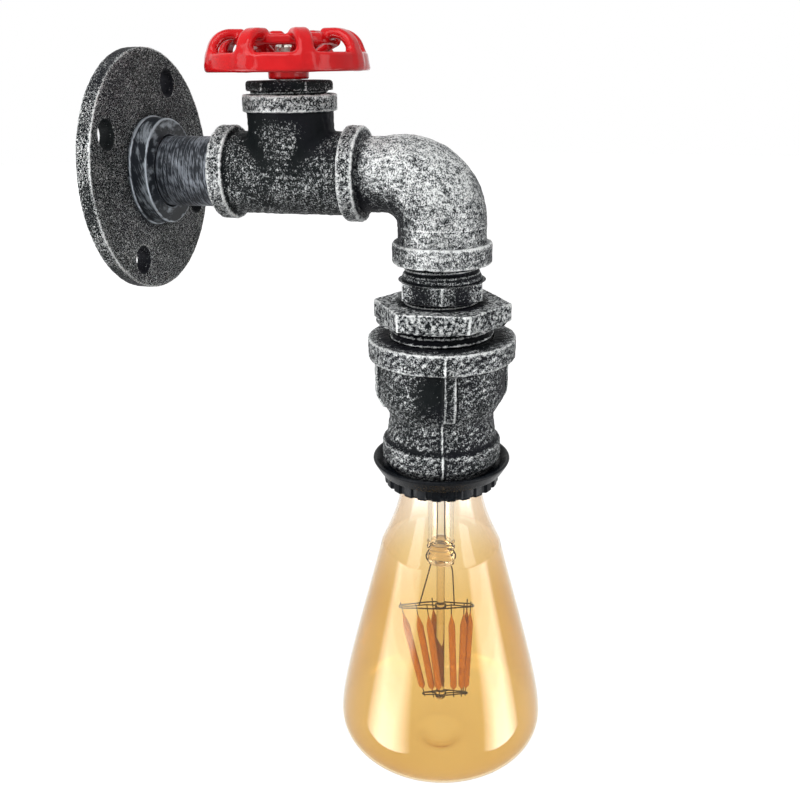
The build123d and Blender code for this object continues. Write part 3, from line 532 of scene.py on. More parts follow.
def dry_brushed_effect():
    """Dark paint over a cast grain, with silver dry-brushed on what stands out.

    Silver lies where grain + cover + wear passes a threshold, so that it follows the bumps and the edges,
    and it stays off where the cover and the hollows paint shade.
    Contours adds thin winding lines, where a noise is near its middle value.
    """
    tree, given, end = effect(
        "dry_brushed_casting",
        {"Grain per metre": 1800.0, "Silver": 0.0, "Edge silver": 1.6, "Softness": 0.6, "Streaks": 0.0,
         "Contours": 0.0, "Patches": 2.5},
        {"Color": COLOUR, "Roughness": NUMBER, "Metallic": NUMBER, "Height": NUMBER})
    place, size = object_place(tree), given["Grain per metre"]
    bumps = grain(tree, place, size, detail=2.0, roughness=0.6)
    fine = grain(tree, place, times(tree, size, 2.1), detail=1.0)
    patches = grain(tree, place, 150.0, detail=2.0)
    streaks = grain(tree, place, 1000.0, detail=2.0, stretch=(1.0, 0.3, 0.7))
    winding = grain(tree, place, times(tree, size, 0.9), detail=1.0)
    tint = grain(tree, place, 45.0, detail=1.0)

    def centred(value, strength):
        """(v - 0.5) times a strength, since noise is 0.5 on average."""
        return times(tree, calc(tree, "SUBTRACT", value, 0.5), strength)

    line = ranged(tree, calc(tree, "ABSOLUTE", centred(winding, 1.0)), 0.0, 0.06, 1.4, -0.9)
    # The cover and the hollow values bring painted shade and painted highlights into this level.
    level = summed(
        tree, centred(bumps, 9.0), centred(fine, 4.5), centred(patches, given["Patches"]),
        times(tree, centred(streaks, 8.0), given["Streaks"]), times(tree, line, given["Contours"]),
        centred(own_value(tree, "silver_cover_light_and_shade"), 5.0),
        times(tree, own_value(tree, "wear_and_hollow_shade"), given["Edge silver"]), given["Silver"])
    silver = ranged(tree, level, times(tree, given["Softness"], -1.0), given["Softness"])
    dark = mixed(tree, ranged(tree, tint, 0.4, 0.6), (0.0045, 0.0062, 0.0068), (0.0062, 0.0066, 0.0095))
    dark = mixed(tree, ranged(tree, level, -1.6, 0.0, 0.0, 0.03), dark, (0.5, 0.52, 0.52))
    bright = mixed(tree, ranged(tree, level, 0.2, 2.4), (0.22, 0.232, 0.236), (0.74, 0.755, 0.75))
    finish_group(
        tree, end, Color=mixed(tree, silver, dark, bright),
        Height=summed(tree, times(tree, bumps, 0.8), times(tree, fine, 0.25), times(tree, silver, 0.10)),
        Roughness=ranged(tree, silver, 0.0, 1.0, 0.56, 0.42, "LINEAR"),
        Metallic=ranged(tree, silver, 0.0, 1.0, 0.0, 0.2, "LINEAR"))
    return tree


def plain_finish_effect():
    """Two colours in a soft mottle, which the roughness and a fine height follow, for plainer finishes."""
    tree, given, end = effect(
        "mottled_finish",
        {"First": (0.5, 0.5, 0.5), "Second": (0.4, 0.4, 0.4), "Size per metre": 300.0,
         "Smooth": 0.3, "Rough": 0.5},
        {"Color": COLOUR, "Roughness": NUMBER, "Height": NUMBER})
    place, size = object_place(tree), given["Size per metre"]
    mottle = grain(tree, place, size, detail=4.0, roughness=0.6)
    specks = grain(tree, place, times(tree, size, 4.0), detail=2.0)
    both = summed(tree, times(tree, mottle, 0.7), times(tree, specks, 0.3))
    share = ranged(tree, both, 0.35, 0.65)
    rough = node(tree, "ShaderNodeMapRange", {
        "Value": share, "To Min": given["Smooth"], "To Max": given["Rough"]}).outputs[0]
    colour = mixed(tree, share, given["First"], given["Second"])
    finish_group(tree, end, Color=colour, Roughness=rough, Height=both)
    return tree


dry_brushed, plain_finish = dry_brushed_effect(), plain_finish_effect()
casting_bump, casting_specular = 0.13, 0.06
casting_inputs = {
    "grain": "Grain per metre", "silver": "Silver", "edge": "Edge silver", "softness": "Softness",
    "streaks": "Streaks", "contours": "Contours", "patches": "Patches",
}


def new_material(name):
    """A material, its node tree and its shader."""
    made = bpy.data.materials.new(name)
    made.use_nodes = True
    tree = made.node_tree
    return made, tree, tree.nodes["Principled BSDF"]


def bumped(tree, height, distance):
    """Normal of a bump of that height, in metres."""
    made = node(tree, "ShaderNodeBump", {"Height": height, "Distance": distance, "Strength": 1.0})
    return made.outputs["Normal"]


def casting(name, **values):
    """Material of one casting: the dry-brushed effect with its own values."""
    made, tree, shader = new_material(name)
    paint = node(tree, "ShaderNodeGroup", node_tree=dry_brushed)
    for key, value in values.items():
        paint.inputs[casting_inputs[key]].default_value = value
    for label, target in (("Color", "Base Color"), ("Roughness", "Roughness"), ("Metallic", "Metallic")):
        tree.links.new(paint.outputs[label], shader.inputs[target])
    tree.links.new(bumped(tree, paint.outputs["Height"], casting_bump * MM), shader.inputs["Normal"])
    shader.inputs["Specular IOR Level"].default_value = casting_specular
    return made


def mottled(name, first, second, size, roughness, bump=0.02, metallic=0.0, specular=0.5):
    """Material of the plainer finishes: plastic, plated or bare metal, rubber and board."""
    made, tree, shader = new_material(name)
    finish = node(tree, "ShaderNodeGroup", node_tree=plain_finish)
    for label, value in (("First", (*first, 1.0)), ("Second", (*second, 1.0)), ("Size per metre", size),
                         ("Smooth", roughness[0]), ("Rough", roughness[1])):
        finish.inputs[label].default_value = value
    for label, target in (("Color", "Base Color"), ("Roughness", "Roughness")):
        tree.links.new(finish.outputs[label], shader.inputs[target])
    tree.links.new(bumped(tree, finish.outputs["Height"], bump * MM), shader.inputs["Normal"])
    shader.inputs["Metallic"].default_value = metallic
    shader.inputs["Specular IOR Level"].default_value = specular
    return made


def brushed_pipe(name, bright, dark, low, high, lines_per_metre=420.0, slant=0.25):
    """Steel with silver brushed round it: noise drawn out round the arm, on a slant, over dark paint."""
    made, tree, shader = new_material(name)
    place = node(tree, "ShaderNodeMapping", {
        "Vector": object_place(tree), "Rotation": (slant, 0.0, 0.0)}).outputs[0]
    lines = grain(tree, place, lines_per_metre, detail=5.0, roughness=0.7, stretch=(0.5, 1.9, 0.5))
    fine = grain(tree, place, lines_per_metre * 3, detail=3.0, roughness=0.6, stretch=(0.35, 2.2, 0.35))
    patches = calc(tree, "SUBTRACT", grain(tree, place, 160.0, detail=3.0), 0.5)
    level = summed(
        tree, times(tree, lines, 0.6), times(tree, fine, 0.45), times(tree, patches, 0.45),
        times(tree, own_value(tree, "wear_and_hollow_shade"), 0.4))
    silver = ranged(tree, level, low, high)
    tree.links.new(mixed(tree, silver, dark, bright), shader.inputs["Base Color"])
    tree.links.new(ranged(tree, silver, 0.0, 1.0, 0.5, 0.40), shader.inputs["Roughness"])
    tree.links.new(ranged(tree, silver, 0.0, 1.0, 0.05, 0.35), shader.inputs["Metallic"])
    tree.links.new(bumped(tree, level, 0.2 * MM), shader.inputs["Normal"])
    shader.inputs["Specular IOR Level"].default_value = 0.2
    return made


def red_enamel():
    """Glossy red enamel: slightly uneven colour, thinner and paler on edges, darker in hollows as painted
    shade, a soft orange-peel surface.
    """
    made, tree, shader = new_material("red_enamel")
    place = object_place(tree)
    mottle = ranged(tree, grain(tree, place, 120.0, detail=2.0), 0.35, 0.65)
    colour = mixed(tree, mottle, (0.62, 0.006, 0.009), (0.70, 0.009, 0.012))
    wear_and_shade = own_value(tree, "wear_and_hollow_shade")
    colour = mixed(tree, ranged(tree, wear_and_shade, 0.5, 1.6, 0.0, 0.25), colour, (0.76, 0.03, 0.035))
    # Darker red in the hollows: painted shade.
    colour = mixed(tree, ranged(tree, wear_and_shade, -0.9, -0.1, 0.55, 0.0), colour, (0.30, 0.002, 0.006))
    tree.links.new(colour, shader.inputs["Base Color"])
    peel = grain(tree, place, 420.0, detail=1.0)
    tree.links.new(bumped(tree, peel, 0.09 * MM), shader.inputs["Normal"])
    tree.links.new(ranged(tree, mottle, 0.0, 1.0, 0.10, 0.15, "LINEAR"), shader.inputs["Roughness"])
    shader.inputs["Specular IOR Level"].default_value = 0.2
    return made


def tinted_glass(name, straight, grazing, painted_highlight_tint=None, highlight_top=0.0, falloff=1.3):
    """Glass whose tint deepens towards its outline, as a tinted coat does where it is seen on the slant; on
    clear glass the dark outline tint is painted shade.

    Where a highlight tint is given, it is a painted highlight: the glass shades into it from 42 mm to 8 mm
    below the given top height.
    """
    made, tree, shader = new_material(name)
    facing = node(tree, "ShaderNodeLayerWeight", {"Blend": 0.5}).outputs["Facing"]
    cloud = ranged(tree, grain(tree, object_place(tree), 22.0, detail=1.0), 0.35, 0.65, 0.0, 0.12)
    share = calc(tree, "ADD", calc(tree, "POWER", facing, falloff), cloud, clamp=True)
    middle = (*straight, 1.0)
    # A near-white tint towards the top: painted highlight.
    if painted_highlight_tint is not None:
        height = node(tree, "ShaderNodeSeparateXYZ", {"Vector": object_place(tree)}).outputs["Z"]
        upper = ranged(tree, height, (highlight_top - 42.0) * MM, (highlight_top - 8.0) * MM)
        middle = mixed(tree, upper, straight, painted_highlight_tint)
    mix = node(tree, "ShaderNodeMix", {0: share, 6: middle, 7: (*grazing, 1.0)}, data_type="RGBA")
    tree.links.new(mix.outputs[2], shader.inputs["Base Color"])
    shader.inputs["Transmission Weight"].default_value = 1.0
    shader.inputs["Roughness"].default_value = 0.0
    shader.inputs["IOR"].default_value = 1.4
    return made


def phosphor():
    """Orange light stick: phosphor coating, slightly granular."""
    made, tree, shader = new_material("phosphor")
    place = object_place(tree)
    specks = ranged(tree, grain(tree, place, 1600.0, detail=2.0), 0.3, 0.7)
    colour = mixed(tree, specks, (0.43, 0.155, 0.008), (0.51, 0.195, 0.014))
    tree.links.new(colour, shader.inputs["Base Color"])
    tree.links.new(bumped(tree, specks, 0.03 * MM), shader.inputs["Normal"])
    shader.inputs["Roughness"].default_value = 0.6
    return made


# ------------------------------------------------------------------ castings
def places(points):
    """Sideways, outward and upward distances of points, in millimetres."""
    return points[:, 0], -points[:, 1], points[:, 2]


def hump(value, middle, width):
    """exp(-((v - m) / w)^2)."""
    return np.exp(-((value - middle) / width) ** 2)


def from_drop(x, out):
    """Distance from the axis of the drop."""
    return np.hypot(x, out - drop_out)


def facing_up(normal):
    """1 on faces that look up, 0 on the rest."""
    return smooth(0.5, 0.8, normal[:, 2])


def from_screw_holes(x, z):
    """Distances from the axes of the four screw holes."""
    bearings = [radians(first_screw_angle + 90 * k) for k in range(4)]
    return [np.hypot(x - screw_circle_radius * cos(t), z - screw_circle_radius * sin(t)) for t in bearings]


def flange_cover_and_shade(points, normal):
    """Mid share on the face, less in the screw holes, painted shade round the foot of the hub, more on the
    rim.
    """
    x, out, z = places(points)
    radial = np.hypot(x, z)
    # The dip round the hub's foot is painted shade.
    share = 0.46 - 0.3 * hump(radial, hub_radius, 2.2) + 0.06 * smooth(34.0, 37.0, radial)
    share = share - 0.10 * smooth(-5.0, 25.0, z)
    for across in from_screw_holes(x, z):
        share = share - 0.7 * (1 - smooth(screw_hole_radius + 0.8, screw_hole_radius + 1.3, across))
    worn = 0.32 + 0.14 * unevenness(points, 14.0, 21) - 0.2 * smooth(10.0, 34.0, z)
    return np.where(radial > flange_high[0] - 0.4, worn + 0.3 * hump(out, flange_plate, 0.5), share)


def tee_cover_and_shade(points, normal):
    """Most on the bands; least on the sides of the branch, under its band and in the crease at its foot,
    where shade is painted.
    """
    x, out, z = places(points)
    run_radial, branch_radial = np.hypot(x, z), np.hypot(x, out - branch_out)
    along = np.abs(out - branch_out)
    # Painted shade: in the crease at the branch's foot, on the branch's sides as seen from the front, and
    # under its band.
    crease_shade = hump(z - along, 0.0, 2.6) * smooth(1.5, 6.5, along) * (z > 0)
    neck = (z > along - 0.5) & (z > 0) & (branch_radial > branch_radius - 1.0)
    side = smooth(0.25, 0.85, np.abs(normal[:, 1])) * neck
    shade_under_band = hump(z, tee_high[2] - band_width, 2.4) * neck
    near_mouth = (out < tee_start + band_width) | (out > tee_end - band_width)
    on_run_band = near_mouth & (run_radial > tee_radius + 0.5)
    on_branch_band = (z > tee_high[2] - band_width) & (branch_radial > branch_radius + 0.4)
    inside = (run_radial < arm_bore + 0.4) | ((branch_radial < 12.4) & (z > 5.0))
    # All the painted shade, taken off the silver share.
    dark = 0.42 * crease_shade + (0.5 * side + 0.45 * shade_under_band) * ~on_branch_band
    share = 0.375 + 0.18 * (on_run_band | on_branch_band) - dark
    return np.where(inside, inside_cover, share)


def elbow_cover_light_and_shade(points, normal):
    """Plenty all over; a painted highlight where it faces up and left, and painted shade by the tee's mouth
    and inside the bend.
    """
    _, out, z = places(points)
    # Painted shade by the tee's mouth and inside the bend; a painted highlight where it faces up and left.
    shade_beside_tee = hump(out, tee_end, 2.6)
    from_pivot = np.hypot(out - tee_end - elbow_bend_out, z + elbow_inner_radius + elbow_radii[0])
    shade_in_bend = 1 - smooth(elbow_inner_radius + 2.0, elbow_inner_radius + 9.0, from_pivot)
    highlight_up_left = smooth(0.1, 0.9, 0.75 * normal[:, 2] - 0.6 * normal[:, 0])
    return 0.52 + 0.20 * highlight_up_left - 0.45 * shade_beside_tee - 0.35 * shade_in_bend


def bonnet_cover(points, normal):
    """Little high on the head, more lower down on it and on the thread."""
    return 0.22 + 0.18 * smooth(bonnet_high[2] - 1.2, bonnet_high[2] - 2.6, points[:, 2])


def small_hex_cover(points, normal):
    """More on the flats, less on the threads."""
    x, out, _ = places(points)
    radial = from_drop(x, out)
    return 0.28 + 0.25 * smooth(12.4, 13.2, radial)


def bushing_cover_and_shade(points, normal):
    """Even on the plate's top and flats, painted shade round the nipple that screws into it, none on the
    thread.
    """
    x, out, z = places(points)
    radial = from_drop(x, out)
    on_plate = smooth(bushing_high[2] - 6.2, bushing_high[2] - 5.8, z)
    on_top = facing_up(normal)
    # Painted shade on the top face round the nipple.
    share = 0.52 - 0.55 * on_top * (1 - smooth(12.5, 16.0, radial)) + 0.04 * on_top
    return np.where(on_plate > 0.5, share, 0.12)


def coupling_cover_and_shade(points, normal):
    """Even outside, more on the rim, none inside; painted shade on top near the thread, beside each rib and
    on the neck just above the bead.
    """
    x, out, z = places(points)
    radial = from_drop(x, out)
    outward = (normal[:, 0] * x + normal[:, 1] * (drop_out - out)) / radial
    top = coupling_high[2]
    on_top = facing_up(normal) * (z > top - 1.0)
    beside = nearest(np.arctan2(drop_out - out, x), radians(coupling_rib_turn), coupling_ribs) * radial
    # Painted shade: a patch beside each rib, the top face next to the bushing's plate, and a band on the
    # neck above the bead.
    shade_beside_rib = hump(beside, -5.8, 4.6) * hump(z, top - 14.0, 6.0)
    share = 0.45 + 0.09 * (z > top - coupling_rim_height) - 0.5 * on_top * (1 - smooth(18.0, 22.0, radial))
    share = share - 0.6 * shade_beside_rib - 0.2 * hump(z, top - 35.0, 1.8) * (radial < 19.0)
    return np.where((outward < -0.3) | (radial < 16.4), inside_cover, share)


def flange_surface():
    """Round plate with four screw holes, opened a little at the front."""
    def field(x, y, z):
        radial, out = np.hypot(x, z), -y
        body = cylinder(radial, out, flange_high[0], 0.0, flange_plate, 0.3)
        body = cut(body, radial - hub_radius + 1.5, 0.2)
        opened = np.maximum(out - (flange_plate - screw_hole_chamfer), 0)
        for across in from_screw_holes(x, z):
            body = cut(body, across - screw_hole_radius - opened, 0.4)
        return body
    return skin(field, flange_low, flange_high, casting_grain)


def hub_surface():
    """Hub of the flange, with a thin lip at its foot and a sharp front edge."""
    inner, back, sunk = arm_bore + 0.15, 0.6, flange_plate - 0.6
    lip_top = flange_plate + hub_lip_height
    return on_arm(turned([
        (inner, back), (hub_radius, back), (hub_radius, sunk), (hub_lip_radius, sunk),
        (hub_lip_radius, lip_top, 0.4), (hub_radius + 0.15, lip_top, 0.2), (hub_radius, hub_front, 0.45),
        (inner + 0.5, hub_front, 0.2), (inner, hub_front - 0.8, 0.2),
    ], step=0.22, sides=220))


def nipple_surface():
    """Pipe between the flange and the tee, threaded where it enters each, with faint rings round it."""
    start, stop = -nipple_high[1], -nipple_low[1]
    crest = pipe_radius - 0.2

    def shape(radius, height, bearing):
        for low, high in ((tee_start + 1.0, stop), (start, hub_front - 0.6)):
            radius = thread(radius, height, bearing, crest - 0.1, thread_depth, thread_pitch, low, high)
        rings = 0.014 * np.sin(height * 5.1 + np.sin(bearing * 2)) + 0.012 * np.sin(height * 8.7 + bearing)
        return np.where(radius > pipe_radius - 0.1, radius + rings, radius)

    return on_arm(turned([
        (nipple_bore, start), (crest, start, 0.3), (crest, hub_front + 0.1), (pipe_radius, hub_front + 0.4),
        (pipe_radius, tee_start - 0.4), (crest, tee_start - 0.1), (crest, stop, 0.3), (nipple_bore, stop),
    ], step=0.28, sides=128, shape=shape))


def tee_surface():
    """Run and branch with a fillet where they meet, a band at each mouth, and a bore through both."""
    def band(radial, along, start):
        """Distance to the band that starts there."""
        return cylinder(radial, along, tee_high[0], start, start + band_width, band_rounding)

    def field(x, y, z):
        run_radial, out = np.hypot(x, z), -y
        branch_radial = np.hypot(x, out - branch_out)
        run = cylinder(run_radial, out, tee_radius, tee_start, tee_end, 0.5)
        branch = cylinder(branch_radial, z, branch_radius, 0.0, tee_high[2], 0.5)
        body = union(run, branch, branch_fillet)
        bands = np.minimum(band(run_radial, out, tee_start), band(run_radial, out, tee_end - band_width))
        bands = np.minimum(bands, band(branch_radial, z, tee_high[2] - band_width))
        body = union(body, bands, band_fillet)
        bore = np.minimum(run_radial - arm_bore, np.maximum(branch_radial - mouth_bore, -z))
        return cut(body, bore, 0.4)
    return skin(field, tee_low, tee_high, casting_grain)


def elbow_surface():
    """Bend that swells from the arm to the drop, a plain barrel at its start, and a band at its mouth.

    At angle a round the bend's pivot the section is a circle of radius s(a), whose centre is
    elbow_inner_radius + s(a) from the pivot.
    """
    pivot_out = tee_end + elbow_bend_out
    pivot_up = -(elbow_inner_radius + elbow_radii[0])
    mouth = elbow_low[2]
    angles = np.linspace(0, pi / 2, len(elbow_radii))
    fine = np.linspace(0, pi / 2, 200)
    swell = np.polynomial.Polynomial.fit(angles, elbow_radii, 3)(fine)

    def field(x, y, z):
        out = -y
        u, v = out - pivot_out, z - pivot_up
        angle = np.arctan2(np.maximum(u, 0), np.maximum(v, 0) + 1e-9)
        section = np.interp(angle, fine, swell)
        from_pivot = np.hypot(u, v)
        bend = np.hypot(x, from_pivot - elbow_inner_radius - section) - section
        bend = np.where((u >= 0) & (v >= 0), bend, far)
        arm_radial, drop_radial = np.hypot(x, z), from_drop(x, out)
        barrel = cylinder(arm_radial, out, elbow_radii[0], tee_end + 0.15, pivot_out + 0.4, 0.1)
        thread_part = cylinder(arm_radial, out, arm_bore - 0.15, tee_end - elbow_thread, tee_end + 1.0, 0.3)
        leg = cylinder(drop_radial, z, elbow_radii[-1], mouth + 0.6, pivot_up + 0.4, 0.1)
        band = cylinder(drop_radial, z, elbow_high[0], mouth, mouth + elbow_band, 0.6)
        body = union(union(union(np.minimum(bend, barrel), leg, 0.5), band, 0.4), thread_part, 0.3)
        bore = np.maximum(arm_radial - elbow_bore, out - drop_out)
        bore = np.minimum(bore, np.maximum(drop_radial - elbow_bore, z))
        bore = np.minimum(bore, np.maximum(drop_radial - mouth_bore, z - mouth - elbow_mouth_depth))
        return cut(body, bore, 0.4)
    return skin(field, elbow_low, elbow_high, casting_grain)


wheel_skirt_start = 2.2             # hub's lower face up to the skirt
wheel_skirt_height = 5.3
wheel_skirt_draft = 0.9
wheel_skirt_half = 1.3
wheel_arch_half, wheel_arch_half_width = 1.5, 2.5    # half of an arch's thickness, and of its width
wheel_arch_radius = 7.2
wheel_ring_radius, wheel_ring_half, wheel_ring_height = 15.5, 1.35, 2.9
wheel_ring_drop = 1.7               # crown of the arches down to the inner ring
wheel_first_arch, wheel_arches = 34.1, 8
wheel_first_spoke, wheel_spokes = 11.0, 5
wheel_hub_radius, wheel_hub_height = 6.2, 7.4
wheel_square_half = 2.86            # half of the square hole for the spindle
wheel_grain = 0.34                  # cell of the grid that the wheel is worked out on


def wheel_surface():
    """Handwheel: skirt, eight arches from it in to an inner ring, and spokes from that ring to the hub.

    An arch is a round-edged bar along the line that goes up from the skirt, over a quarter circle, and in
    to the ring. A spoke is one along the straight line from the hub up to the ring.
    """
    outer = wheel_high[0]
    crown, foot = wheel_high[2], wheel_low[2] + wheel_skirt_start
    skirt_top = foot + wheel_skirt_height
    ring_top = crown - wheel_ring_drop
    centre_radius, centre_height = outer - wheel_skirt_draft - wheel_arch_radius, crown - wheel_arch_radius
    line_radius = wheel_arch_radius - wheel_arch_half
    lean = wheel_skirt_draft / wheel_skirt_height
    spoke_foot = np.array([4.5, wheel_low[2] + 4.2])
    spoke_top = np.array([wheel_ring_radius - 1.4, ring_top - 1.6])
    spoke_run = spoke_top - spoke_foot

    def bar(thick, wide, beyond, half_thick, half_wide, rounding):
        """Distance to a round-edged bar, from the distances off its line, to its side and past its end."""
        a = np.abs(thick) - half_thick + rounding
        b = np.abs(wide) - half_wide + rounding
        flat = np.minimum(np.maximum(a, b), 0)
        return flat + np.hypot(np.hypot(np.maximum(a, 0), np.maximum(b, 0)), beyond) - rounding

    def field(x, y, z):
        out = -y - branch_out
        radial, bearing = np.hypot(x, out), np.arctan2(-out, x)
        middle = outer - wheel_skirt_half - (z - foot) * lean
        skirt = cylinder(np.abs(radial - middle), z, wheel_skirt_half, foot, skirt_top, 0.9)
        hub = cylinder(radial, z, wheel_hub_radius, wheel_low[2], wheel_low[2] + wheel_hub_height, 0.6)
        from_ring = np.abs(radial - (wheel_ring_radius - 1.3))
        ring = cylinder(from_ring, z, wheel_ring_half, ring_top - wheel_ring_height, ring_top, 0.9)
        around = nearest(bearing, radians(wheel_first_arch), wheel_arches)
        ahead, aside = radial * np.cos(around), radial * np.sin(around)
        u, v = ahead - centre_radius, z - centre_height
        over = np.hypot(np.maximum(u, 0), np.maximum(v, 0)) - line_radius
        straight = np.where(u > 0, u - line_radius + v * lean, v - line_radius)
        over = np.where((u > 0) & (v > 0), over, straight)
        low_end, inner_end = (foot + 2.6) - z, (wheel_ring_radius - 1.6) - ahead
        beyond = np.where(u > 0, np.maximum(low_end, 0), np.where(v > 0, np.maximum(inner_end, 0), far))
        arch = bar(over, aside, beyond, wheel_arch_half, wheel_arch_half_width, 1.4)
        turned_to = nearest(bearing, radians(wheel_first_spoke), wheel_spokes)
        along, side = radial * np.cos(turned_to), radial * np.sin(turned_to)
        beside_foot, above_foot = along - spoke_foot[0], z - spoke_foot[1]
        share = (beside_foot * spoke_run[0] + above_foot * spoke_run[1]) / (spoke_run @ spoke_run)
        held = np.clip(share, 0, 1)
        off_line = np.hypot(beside_foot - held * spoke_run[0], above_foot - held * spoke_run[1])
        spoke = bar(off_line, side, 0.0, 1.6, 2.6 + 1.6 * held, 1.2)
        body = union(union(skirt, arch, 2.0), ring, 1.4)
        body = union(body, union(spoke, hub, 1.8), 1.6)
        square_turn = nearest(bearing, radians(wheel_first_arch), 4)
        from_flats = np.maximum(np.abs(radial * np.cos(square_turn)), np.abs(radial * np.sin(square_turn)))
        return cut(body, from_flats - wheel_square_half, 0.3)
    return skin(field, wheel_low, wheel_high, wheel_grain)


# ------------------------------------------------------------------ hexagons and the coupling
# across flats, radius at the corners, and bearing of the first flat
bonnet_hexagon = (23.5, 13.57, 12.3)
nipple_hexagon = (25.0, 14.43, 42.1)
bushing_hexagon = (38.6, 22.28, 4.0)
bonnet_head, spindle_hole = 2.9, 4.08
hex_nipple_lip, hex_nipple_height, hex_nipple_bore = 5.3, 5.6, 8.0
bushing_plate, bushing_crest = 5.7, 16.6
bushing_thread_depth, bushing_thread_pitch = 1.1, 2.3
flat_sharpness = 160


def hex_ease(radius, height, bearing, low, high, inner, hexagon):
    """Between two heights, draw an outline that reaches the corner radius in to the hexagon.

    r becomes inner + (r - inner) (H(t) - inner) / (corner - inner), with H the soft hexagon's radius.
    """
    across_flats, corner, first_flat = hexagon
    edge = soft_hexagon(bearing, across_flats, first_flat, flat_sharpness)
    drawn = inner + (radius - inner) * (edge - inner) / (corner - inner)
    return np.where((radius > inner) & (height > low - 0.01) & (height < high + 0.01), drawn, radius)


def bonnet_surface():
    """Threaded plug with a hexagonal head and a hole for the spindle."""
    head_low, head_high, low = bonnet_high[2] - bonnet_head, bonnet_high[2], bonnet_low[2]
    corner = bonnet_hexagon[1]

    def shape(radius, height, bearing):
        radius = hex_ease(radius, height, bearing, head_low, head_high, 8.0, bonnet_hexagon)
        return thread(radius, height, bearing, thread_crest, thread_depth, thread_pitch, low, head_low - 0.1)

    return turned([
        (spindle_hole, low), (thread_crest, low, 0.3), (thread_crest, head_low - 0.05),
        (corner, head_low, 0.3), (corner, head_high, 1.1), (spindle_hole, head_high),
    ], step=0.25, sides=300, shape=shape)


def hex_nipple_surface():
    """Nipple with a hexagon: its upper thread swells into a lip over it, as a forced thread does."""
    top, low = hex_nipple_high[2], hex_nipple_low[2]
    hex_top = elbow_low[2] - hex_nipple_lip
    hex_low = hex_top - hex_nipple_height
    corner, crest, bore = nipple_hexagon[1], thread_crest, hex_nipple_bore
    thread_foot = hex_top + 1.9

    def shape(radius, height, bearing):
        radius = hex_ease(radius, height, bearing, hex_low, hex_top, 11.0, nipple_hexagon)
        for start, stop in ((thread_foot, top), (low, hex_low - 0.1)):
            radius = thread(radius, height, bearing, crest, thread_depth, thread_pitch, start, stop)
        lip = hump(height - hex_top - 1.25 - 0.4 * np.sin(bearing + 0.6), 0.0, 0.95)
        return np.where((radius > 10.0) & (height > hex_top + 0.02), radius + 0.45 * lip, radius)

    return turned([
        (bore, low), (crest, low, 0.3), (crest, hex_low - 0.05), (corner, hex_low, 0.3),
        (corner, hex_top, 0.35), (crest + 0.3, hex_top + 0.05), (crest, thread_foot), (crest, top, 0.3),
        (bore, top),
    ], step=0.28, sides=300, shape=shape)


def bushing_surface():
    """Hexagonal plate over a coarse male thread."""
    low, top = bushing_low[2], bushing_high[2]
    plate_low = top - bushing_plate
    corner, crest, bore = bushing_hexagon[1], bushing_crest, mouth_bore

    def shape(radius, height, bearing):
        radius = hex_ease(radius, height, bearing, plate_low, top, 12.6, bushing_hexagon)
        return thread(radius, height, bearing, crest, bushing_thread_depth, bushing_thread_pitch, low,
                      plate_low - 0.1)

    return turned([
        (bore, low), (crest, low, 0.3), (crest, plate_low - 0.05), (corner, plate_low, 0.4),
        (corner, top, 0.4), (bore, top, 0.3),
    ], step=0.28, sides=380, shape=shape)


def coupling_surface():
    """Reducing coupling: rim, barrel, taper, neck and bead, with four ribs and a thin mould seam."""
    top, low = coupling_high[2], coupling_low[2]
    rim, barrel, neck, bead, foot = coupling_high[0], 20.6, 17.0, 19.6, 17.7
    thread_bore, recess, low_bore = 16.7, 17.4, 15.6
    rim_low, bead_high = top - coupling_rim_height, top - 35.4
    rib_end = top - 23.4
    first_rib = radians(coupling_rib_turn)

    def shape(radius, height, bearing):
        around = nearest(bearing, first_rib, coupling_ribs) * radius
        rib = (1 - smooth(1.6, 2.0, np.abs(around))) * smooth(rib_end - 0.5, rib_end + 0.3, height)
        rib = rib * (1 - smooth(rim_low + 0.1, rim_low + 0.9, height))
        from_seam = nearest(bearing, first_rib, 2) * radius + coupling_seam_offset
        seam = hump(from_seam, 0.0, 0.42) * (0.4 + 0.3 * smooth(bead_high + 1, bead_high - 1, height))
        edge_fade = smooth(low + 0.3, low + 1.2, height) * (1 - smooth(top - 1.2, top - 0.3, height))
        return np.where(radius > 16.5, radius + (1.15 * rib + seam) * edge_fade, radius)

    return turned([
        (low_bore, low), (foot, low, 0.4), (bead, low + 3.0, 0.8), (bead, bead_high, 0.6),
        (neck + 1.1, bead_high + 1.0, 1.0), (neck, top - 26.0, 3.5), (barrel, top - 19.2, 6.0),
        (barrel, rim_low, 0.4), (rim - 0.2, rim_low + 0.9, 0.6), (rim, top, 0.5), (thread_bore, top, 0.4),
        (thread_bore, top - 13.0), (recess, top - 13.4), (recess, top - 16.6), (low_bore, top - 21.5),
    ], step=0.48, sides=360, shape=shape)


# ------------------------------------------------------------------ lampholder rings
ring_bore = 17.45                   # bore of both rings, round the holder's skirt
nut_notches = 24


def shade_ring_surface():
    """Dished ring with a flared rim."""
    seat, rim_top, low, outer = coupling_low[2] - 0.3, shade_high[2], shade_low[2], shade_high[0]
    return turned([
        (ring_bore, low, 0.2), (20.6, low, 0.5), (outer - 0.3, rim_top - 1.2, 0.6),
        (outer, rim_top - 0.45, 0.3), (outer - 0.25, rim_top, 0.2), (outer - 1.0, rim_top, 0.25),
        (outer - 3.4, seat, 1.5), (ring_bore, seat, 0.2),
    ], step=0.35, sides=200)


def ring_nut_surface():
    """Ring nut with notches round it."""
    outer, low, top = nut_high[0], nut_low[2], nut_high[2]

    def shape(radius, height, bearing):
        around = nearest(bearing, 0.0, nut_notches) * radius
        notch = 1 - smooth(0.75, 1.15, np.abs(around))
        return np.where(radius > outer - 1.6, radius - 0.8 * notch, radius)

    corners = [(ring_bore, low, 0.3), (outer, low, 0.7), (outer, top, 0.3), (ring_bore, top, 0.3)]
    return turned(corners, step=0.4, sides=384, shape=shape)


# ------------------------------------------------------------------ lamp
glass_wall = 0.7


